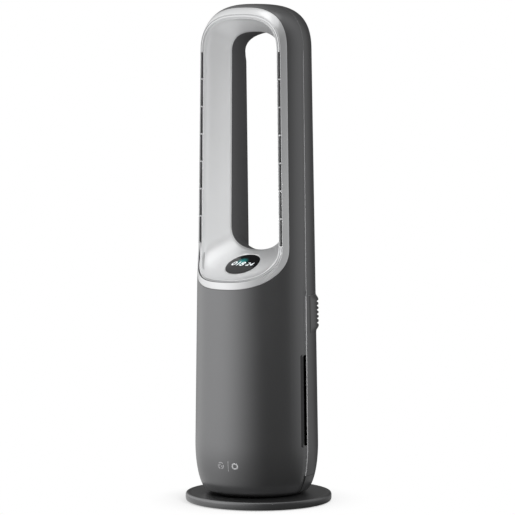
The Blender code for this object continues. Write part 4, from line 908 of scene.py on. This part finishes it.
def make_tub_floor():
    """Flat ring that closes the tower round its neck."""
    outer = float(tower_radius(TOWER_BOTTOM)) - TUB_FLOOR_INSET
    top = TOWER_BOTTOM + TUB_FLOOR
    profile = [(NECK_HOLE, TOWER_BOTTOM), (outer, TOWER_BOTTOM), (outer + TUB_FLOOR_FLARE, top),
               (NECK_HOLE, top)]
    return lathe("lower_tub_floor", profile, bevel=0.4)


# Base

def make_base_cover():
    """Round shell with an upright, rounded rim and a shallow dip inside it.

    Inside the dip the circles' centres move over to the tower's axis.
    """
    dip = [(DIP_EDGE - (DIP_EDGE - NECK_EDGE) * share, DIP_LEVEL + DIP_RISE * share)
           for share in np.linspace(0, 1, 10)[1:-1]]
    neck = NECK_EDGE - 0.5
    profile = [(BASE_EDGE - RIM_WALL, 1.55), *rim_line(RIM_BULGE, RIM_HALF, 28), (BASE_EDGE - 1.5, 18.7),
               (BASE_EDGE - 2.6, 18.45), (BASE_EDGE - 4.5, 18.35), (DIP_EDGE, 18.5), *dip,
               (NECK_EDGE, 19.8), (neck, 19.5), (neck, 17.5), (DIP_EDGE, COVER_UNDERSIDE),
               *rim_line(RIM_BULGE - RIM_WALL, RIM_HALF - 2.8, 10)[::-1]]
    inward = [(DIP_EDGE - radius) / (DIP_EDGE - NECK_EDGE) for radius, _ in profile]
    return lathe("base_cover_disc", profile, steps=160, shift=AXIS_Y * np.clip(inward, 0, 1), centre_y=0)


def rim_line(bulge, half, steps):
    """Rounded rim from its underside to its top, as a superellipse."""
    line = []
    for turn in np.linspace(-math.pi / 2, math.pi / 2, steps + 1):
        out = max(math.cos(turn), 0) ** (2 / RIM_POWER)
        up = math.copysign(abs(math.sin(turn)) ** (2 / RIM_POWER), turn)
        line.append((BASE_EDGE + bulge * out, RIM_MIDDLE + half * up))
    return line


def make_foot(k):
    """Round rubber pad with a rounded lower edge."""
    turn = math.pi / 2 * k
    edge, top = FOOT_RADIUS, FOOT_HEIGHT
    profile = [(0, 0), (edge - 0.8, 0), (edge - 0.2, 0.15), (edge, 0.45), (edge, top), (0, top)]
    return lathe("foot_pad_%d" % (k + 1), profile, steps=32,
                 centre=(FOOT_CIRCLE * math.cos(turn), FOOT_CIRCLE * math.sin(turn)), centre_y=0)


# Filter

def make_filter_media():
    """Pleated paper: one folded sheet that runs to and fro between two radii, as a blunted zigzag."""
    turn = np.linspace(0, 2 * math.pi, PLEATS * PLEAT_STEPS + 1)
    wave = np.arcsin(PLEAT_SHARPNESS * np.sin(PLEATS * turn)) / math.asin(PLEAT_SHARPNESS)
    radius = PLEAT_MIDDLE + PLEAT_HALF * wave
    low, high = [corner.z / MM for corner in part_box("filter_media")]
    rows = np.linspace(low, high, 4)[:, None]
    return surface("filter_pleats", [xyz(radius * np.cos(turn), radius * np.sin(turn), rows)], wall=PAPER)


# Materials

class Socket:
    """Output of a shader node that arithmetic can be done on."""

    def __init__(self, graph, socket):
        self.graph = graph
        self.socket = socket

    def __add__(self, other):
        return self.graph.math("ADD", self, other)

    def __sub__(self, other):
        return self.graph.math("SUBTRACT", self, other)

    def __rsub__(self, other):
        return self.graph.math("SUBTRACT", other, self)

    def __mul__(self, other):
        return self.graph.math("MULTIPLY", self, other)

    __radd__ = __add__
    __rmul__ = __mul__


class Graph:
    """Node tree with short ways to add nodes and link them."""

    def __init__(self, tree):
        self.tree = tree

    def feed(self, node, values):
        """Set a node's inputs, each to a number, a colour, a vector or a socket."""
        for key, value in values.items():
            if isinstance(value, Socket):
                self.tree.links.new(value.socket, node.inputs[key])
            else:
                node.inputs[key].default_value = value

    def add(self, kind, settings=None, values=None, output=0):
        """New node with its settings and inputs, given back as one of its outputs."""
        node = self.tree.nodes.new("ShaderNode" + kind)
        for key, value in (settings or {}).items():
            setattr(node, key, value)
        self.feed(node, values or {})
        return Socket(self, node.outputs[output])

    def math(self, operation, *values):
        """Arithmetic on numbers and sockets."""
        return self.add("Math", {"operation": operation}, dict(enumerate(values)))

    def vector(self, operation, *values, output=0):
        """Arithmetic on vectors."""
        return self.add("VectorMath", {"operation": operation}, dict(enumerate(values)), output)

    def mix(self, factor, first, second):
        """Colour between two colours."""
        first, second = [value if isinstance(value, Socket) else (*value, 1) for value in (first, second)]
        return self.add("Mix", {"data_type": "RGBA"}, {0: factor, 6: first, 7: second}, 2)

    def ramp(self, value, start, end):
        """Smooth step from 0 where a value is at the start to 1 at the end."""
        return self.add("MapRange", {"interpolation_type": "SMOOTHSTEP"},
                        {"Value": value, "From Min": start, "From Max": end})

    def place(self, scale=(1, 1, 1)):
        """Object coordinates, scaled."""
        where = self.add("TexCoord", output="Object")
        return self.add("Mapping", None, {"Vector": where, "Scale": scale})

    def noise(self, vector, scale, detail=2.0, roughness=0.5):
        """Cloudy pattern from 0 to 1."""
        return self.add("TexNoise", None, {"Vector": vector, "Scale": scale, "Detail": detail,
                                           "Roughness": roughness})

    def finish(self, colour, roughness, height, strength, depth):
        """Feed the material's shader a colour, a roughness and a bump, and give the material back."""
        bump = self.add("Bump", None, {"Height": height, "Strength": strength, "Distance": depth})
        self.feed(self.shader, {"Base Color": colour, "Roughness": roughness, "Normal": bump})
        return self.material


def new_material(name, constants):
    """Graph of a new material, with the constant values of its shader set."""
    material = bpy.data.materials.new(name)
    material.use_nodes = True
    graph = Graph(material.node_tree)
    graph.material = material
    graph.shader = graph.tree.nodes["Principled BSDF"]
    graph.feed(graph.shader, constants)
    return graph


def moulded(name, colour, roughness, metallic=0.0, grain=1400.0, depth=0.03):
    """Moulded plastic: fine grain in the surface, slow drift in colour and gloss."""
    graph = new_material(name, {"Metallic": metallic})
    where = graph.place()
    fine = graph.noise(where, grain, 3.0, 0.6)
    slow = graph.noise(where, 14.0)
    drift = 0.06
    shade = 1.0 - drift + drift * (slow + fine)
    shaded = graph.add("VectorMath", {"operation": "SCALE"}, {0: colour, "Scale": shade})
    return graph.finish(shaded, roughness + (slow - 0.5) * 0.06 + (fine - 0.5) * 0.08, fine, depth, 0.0004)


def make_silver(name, low, high, roughness, constants):
    """Silver lacquer with fine flakes, between two colours."""
    graph = new_material(name, constants)
    where = graph.place()
    flakes = graph.noise(where, 2600.0, 2.0, 0.7)
    colour = graph.mix(0.5 * flakes + 0.5 * graph.noise(where, 9.0), low, high)
    return graph.finish(colour, roughness - 0.05 + 0.1 * flakes, flakes, 0.05, 0.0003)


def make_glass():
    """Polished black panel with a soft, slightly speckled teal light behind it."""
    graph = new_material("display_panel", {"Roughness": 0.08, "Emission Strength": 1.0,
                                           "Specular IOR Level": 0.4})
    place = floor_place()
    local = graph.vector("SUBTRACT", graph.add("TexCoord", output="Object"), place.translation)
    local = graph.add("VectorRotate", {"rotation_type": "X_AXIS"},
                      {"Vector": local, "Angle": -place.to_euler().x})
    away = graph.vector("DISTANCE", local, GLOW_PLACE, output="Value")
    specks = graph.noise(local, 420.0)
    light = graph.ramp(away, GLOW_REACH, 0.0) * (0.35 + 0.9 * specks)
    graph.feed(graph.shader, {
        "Base Color": graph.mix(specks, (0.004, 0.004, 0.005), (0.009, 0.009, 0.01)),
        "Emission Color": graph.mix(light, (0, 0, 0), (0.02, 0.30, 0.29))})
    return graph.material


def make_lit(name, colour, strength):
    """Lit segments of the display, slightly uneven."""
    graph = new_material(name, {"Roughness": 0.4, "Emission Strength": strength})
    uneven = graph.mix(graph.noise(graph.place(), 300.0), [0.8 * value for value in colour], colour)
    graph.feed(graph.shader, {"Emission Color": uneven, "Base Color": uneven})
    return graph.material


def make_steel():
    """Zinc-plated steel, brushed along its turning."""
    graph = new_material("plated_steel", {"Metallic": 1.0})
    streak = graph.noise(graph.place(scale=(1, 1, 12)), 160.0, 3.0)
    colour = graph.mix(streak, (0.36, 0.36, 0.37), (0.5, 0.5, 0.51))
    return graph.finish(colour, 0.24 + 0.16 * streak, streak, 0.08, 0.0003)


def make_windings():
    """Enamelled copper wires side by side."""
    graph = new_material("copper_windings", {"Metallic": 0.9})
    wires = graph.add("TexWave", {"bands_direction": "Z"},
                      {"Vector": graph.place(), "Scale": 420.0, "Distortion": 1.5}, 1)
    colour = graph.mix(wires, (0.20, 0.07, 0.03), (0.60, 0.27, 0.12))
    return graph.finish(colour, 0.5 - 0.2 * wires, wires, 0.5, 0.0004)


def make_board():
    """Lacquered circuit board with fine paler tracks."""
    graph = new_material("lacquered_board", {"Coat Weight": 0.3})
    where = graph.place()
    tracks = graph.add("TexBrick", None, {"Vector": where, "Scale": 90.0, "Mortar Size": 0.05}, 1)
    slow = graph.noise(where, 40.0)
    green = graph.mix(slow, (0.006, 0.07, 0.03), (0.012, 0.11, 0.045))
    colour = graph.mix(tracks, green, (0.05, 0.22, 0.09))
    return graph.finish(colour, 0.35 + 0.15 * slow, tracks, 0.2, 0.0002)


def make_paper():
    """Filter paper: pale fibres."""
    graph = new_material("filter_paper", {})
    where = graph.place()
    fibres = graph.noise(where, 700.0, 4.0, 0.7)
    colour = graph.mix(0.5 * fibres + 0.5 * graph.noise(where, 20.0), (0.62, 0.63, 0.63), (0.84, 0.85, 0.85))
    return graph.finish(colour, 0.85 + 0.1 * fibres, fibres, 0.4, 0.0005)


MATERIALS = {
    "dark_housing": moulded("satin_dark_housing", (0.19, 0.191, 0.194), 0.3, 0.92),
    # Matte black plastic, also used as painted shade in the side slots' recesses and behind the rear cover's
    # windows
    "black_plastic": moulded("matte_black_plastic_and_painted_shade", (0.014, 0.014, 0.015), 0.6),
    "silver_plastic": make_silver("silver_lacquer", (0.62, 0.625, 0.63), (0.8, 0.805, 0.81), 0.3,
                                  {"Metallic": 0.75, "Coat Weight": 0.25, "Coat Roughness": 0.12}),
    "display_gloss": make_glass(),
    "grey_plastic": moulded("grey_moulding", (0.20, 0.205, 0.21), 0.5, grain=900.0),
    "rubber": moulded("black_rubber", (0.016, 0.016, 0.016), 0.75, grain=700.0, depth=0.1),
    "steel": make_steel(),
    "windings": make_windings(),
    "circuit_board": make_board(),
    "filter_paper": make_paper(),
}


def dress(item, body, slot, nodes=(), material=None):
    """Give a piece its material, its body and the CAD nodes that it stands for."""
    item.data.materials.clear()
    item.data.materials.append(material or MATERIALS[slot])
    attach(item, body)
    if nodes:
        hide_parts(*nodes)
    return item


def paint(item, material, wanted):
    """One more material, on the faces whose middle, in mm, and normal pass a test."""
    item.data.materials.append(material)
    last = len(item.data.materials) - 1
    for face in item.data.polygons:
        if wanted(face.center / MM, face.normal):
            face.material_index = last


def highlight_edges(item, material):
    """Cut edges of a shell in a paler colour than its face, a painted highlight along them."""
    item.data.materials.append(material)
    item.modifiers["Wall"].material_offset_rim = 1


def in_scoop_shade(middle, normal):
    """Whether a face of the front shell lies in the recess of a side slot, where shade is painted."""
    x, y, z = middle
    return abs(x) > SCOOP_SIDE and SCOOP_EDGE < y - AXIS_Y < SLOT_EDGE and SLOT_LOW < z < SLOT_HIGH


def in_loop_shade(middle, normal):
    """Whether a face of the rear housing looks inward, at the middle of the loop, where shade is painted."""
    x, y, z = middle
    return abs(x) < LOOP_REACH and normal.x * x + normal.z * (z - LOOP_MIDDLE) < LOOP_FACING


def dress_nodes():
    """Procedural materials on the CAD nodes, by the record's slots."""
    slots = {part["node"]: part["material_slot"] for part in frame["record"]["subparts"]}
    for name, item in frame["nodes"].items():
        item.data.materials.clear()
        item.data.materials.append(MATERIALS[slots[name]])


def build():
    """Every piece of the scene, with its body and the nodes that it stands for."""
    dress(make_outlet_frame(), "tower", "silver_plastic", ["outlet_frame"])
    dress(make_outlet_ring(), "tower", "silver_plastic", ["outlet_ring"])
    satin = make_silver("silver_satin", (0.8, 0.805, 0.81), (0.88, 0.885, 0.89), 0.4, {"Metallic": 0.5})
    dress(make_inner_liner(), "tower", "silver_plastic", ["inner_liner"], material=satin)
    dress(make_display(), "tower", "display_gloss", ["display_lens"])
    white = make_lit("display_white", (0.85, 0.9, 0.92), 0.9)
    for name, text, size, x in (("reading_left", "018", 21, -13), ("reading_right", "24", 17, 17)):
        dress(make_reading(name, text, size, x), "tower", "display_gloss", material=white)
    shell = dress(make_front_shell(), "tower", "dark_housing", ["front_shell"])
    # Painted shade: the recess before each side slot is matte black, standing in for the shade that falls in it
    paint(shell, MATERIALS["black_plastic"], in_scoop_shade)
    ink = moulded("pale_print", (0.5, 0.5, 0.51), 0.5)
    dress(make_marks(), "tower", "dark_housing", material=ink)
    rear = dress(make_rear_housing(), "tower", "dark_housing", ["rear_housing"])
    # Painted highlight: the cut edges of the rear housing and rear cover are paler than the housing
    edges = moulded("painted_highlight_edges", (0.4, 0.4, 0.405), 0.5)
    highlight_edges(rear, edges)
    # Painted shade: the loop's inward faces of the rear housing take a darker, non-metallic copy of the housing
    # colour
    paint(rear, moulded("painted_shade_inner_wall", (0.06, 0.06, 0.062), 0.5), in_loop_shade)
    dress(make_lower_tub(), "tower", "dark_housing", ["lower_tub"])
    dress(make_tub_floor(), "tower", "dark_housing")
    highlight_edges(dress(make_filter_cover(), "cover", "dark_housing", ["filter_cover"]), edges)
    dress(make_window_bars(), "cover", "dark_housing")
    # Painted shade: a matte black sheet behind the rear cover's windows
    dress(make_window_shade_sheet(), "cover", "dark_housing", material=MATERIALS["black_plastic"])
    dress(make_cover_grip(), "cover", "dark_housing", ["cover_grip"])
    dress(make_base_cover(), "base", "dark_housing", ["base_cover"])
    for k in range(4):
        dress(make_foot(k), "base", "rubber", ["foot_%d" % (k + 1)])
    dress(make_filter_media(), "filter", "filter_paper", ["filter_media"])
    dress_nodes()


# Stage, in metres

FLOOR_REACH = 1.3
FLOOR_SIDES = 96

# Studio that polished surfaces mirror: its darkest part, and lobes of light round the horizon, each
# (strength, azimuth, full within, gone at), with angles in degrees
DARK = 0.09
LOBES = ((1.35, -138, 10, 102), (0.35, 163, 5, 38), (0.4, 50, 5, 47))

# Plain light on everything, with a little more from the front right, and light back from the floor
FILL = 0.5
FILL_HIGH = 0.1
FILL_LOBE = (-40, 20, 120)
BOUNCE = 0.4

# Mirrored light from overhead and from the floor, as a share of the light round the horizon
ABOVE = 0.3
ABOVE_SHARE = 0.6
FLOOR_SHARE = 0.8

# Camera fitted to the photograph, turned by degrees
CAMERA_LENS = 191.23
CAMERA_PLACE = (3.3857, -4.6645, 0.92797)
CAMERA_TURN = (85.918, 0, 35.997)


def lobe(graph, way, azimuth, inner, outer):
    """Light round an azimuth in degrees, full within inner degrees and gone at outer."""
    turn = math.radians(azimuth)
    level = graph.vector("NORMALIZE", graph.vector("MULTIPLY", way, (1, 1, 0)))
    facing = graph.vector("DOT_PRODUCT", level, (math.cos(turn), math.sin(turn), 0), output="Value")
    away = graph.math("ARCCOSINE", facing * 0.9999)
    return graph.ramp(away, math.radians(outer), math.radians(inner))


def studio_light(graph, way):
    """Brightness round the horizon: bright to the left of the camera, with dark flags on its right."""
    return sum((strength * lobe(graph, way, *angles) for strength, *angles in LOBES), start=DARK)


def rays(graph):
    """One for the camera's rays, and one for the rays that polished and clear surfaces send out."""
    seen, glossy, clear = [graph.add("LightPath", output="Is %s Ray" % kind)
                           for kind in ("Camera", "Glossy", "Transmission")]
    return seen, glossy + clear


def make_floor():
    """Pale round floor that keeps the object's shadow and turns plain white away from it."""
    mesh = bpy.data.meshes.new("floor")
    turns = [2 * math.pi * k / FLOOR_SIDES for k in range(FLOOR_SIDES)]
    points = [(FLOOR_REACH * math.cos(turn), FLOOR_REACH * math.sin(turn), 0) for turn in turns]
    mesh.from_pydata(points, [], [range(FLOOR_SIDES)])
    graph = new_material("studio_floor", {"Base Color": (0.96, 0.96, 0.96, 1), "Roughness": 0.9,
                                          "Specular IOR Level": 0.1})
    where = graph.add("TexCoord", output="Object")
    away = graph.vector("LENGTH", where, output="Value")
    seen, mirrored = rays(graph)
    plain = 1.0 - seen + graph.ramp(away, 0.02, 0.25) * seen
    # Painted shade: in reflections the floor glows less near the object, standing in for the object's shade on it
    near = 0.65 + 0.35 * graph.ramp(away, 0.15, 0.9)
    strength = seen + mirrored * near * FLOOR_SHARE * studio_light(graph, where)
    strength = strength + (1.0 - seen - mirrored) * BOUNCE
    white = graph.add("Emission", None, {"Color": (1, 1, 1, 1), "Strength": strength})
    lit = Socket(graph, graph.shader.outputs[0])
    mixed = graph.add("MixShader", None, {0: plain, 1: lit, 2: white})
    graph.feed(graph.tree.nodes["Material Output"], {"Surface": mixed})
    mesh.materials.append(graph.material)
    new_item("floor", mesh)


def make_world():
    """Plain white studio; polished surfaces also show its brighter left side and the dark flags."""
    world = bpy.data.worlds.new("studio")
    bpy.context.scene.world = world
    world.use_nodes = True
    graph = Graph(world.node_tree)
    way = graph.add("TexCoord", output="Generated")
    height = graph.add("SeparateXYZ", None, {0: way}, 2)
    around = studio_light(graph, way)
    above = graph.ramp(height, 0.3, 0.8)
    below = graph.ramp(height, -0.02, -0.2)
    light = around + above * (ABOVE + ABOVE_SHARE * around - around)
    light = light - below * (1.0 - FLOOR_SHARE) * light
    seen, mirrored = rays(graph)
    high = graph.ramp(height, 0.1, 0.7)
    fill = FILL + FILL_HIGH * high * lobe(graph, way, *FILL_LOBE)
    strength = seen + mirrored * light + (1.0 - seen - mirrored) * fill
    graph.feed(world.node_tree.nodes["Background"], {"Color": (1, 1, 1, 1), "Strength": strength})


def area_light(name, place, aim, size, power, mirrored=True):
    """Square lamp that looks at a point, and that polished surfaces mirror or not."""
    data = bpy.data.lights.new(name, "AREA")
    data.size = size
    data.energy = power
    item = new_item(name, data)
    item.visible_glossy = mirrored
    item.location = place
    item.rotation_euler = (Vector(aim) - Vector(place)).to_track_quat("-Z", "Y").to_euler()


def make_camera():
    """Camera fitted to the photograph."""
    data = bpy.data.cameras.new("camera")
    data.sensor_width = 36
    data.lens = CAMERA_LENS
    item = new_item("camera", data)
    item.location = CAMERA_PLACE
    item.rotation_euler = [math.radians(turn) for turn in CAMERA_TURN]
    bpy.context.scene.camera = item


build()
make_floor()
make_world()
area_light("overhead", (0.3, -0.4, 3.2), (0, 0, 0.5), 2.0, 9)
area_light("loop_fill", (0.72, -0.46, 0.52), (-0.06, 0, 0.25), 0.3, 6.5, mirrored=False)
make_camera()
bpy.context.scene.view_settings.view_transform = "Standard"
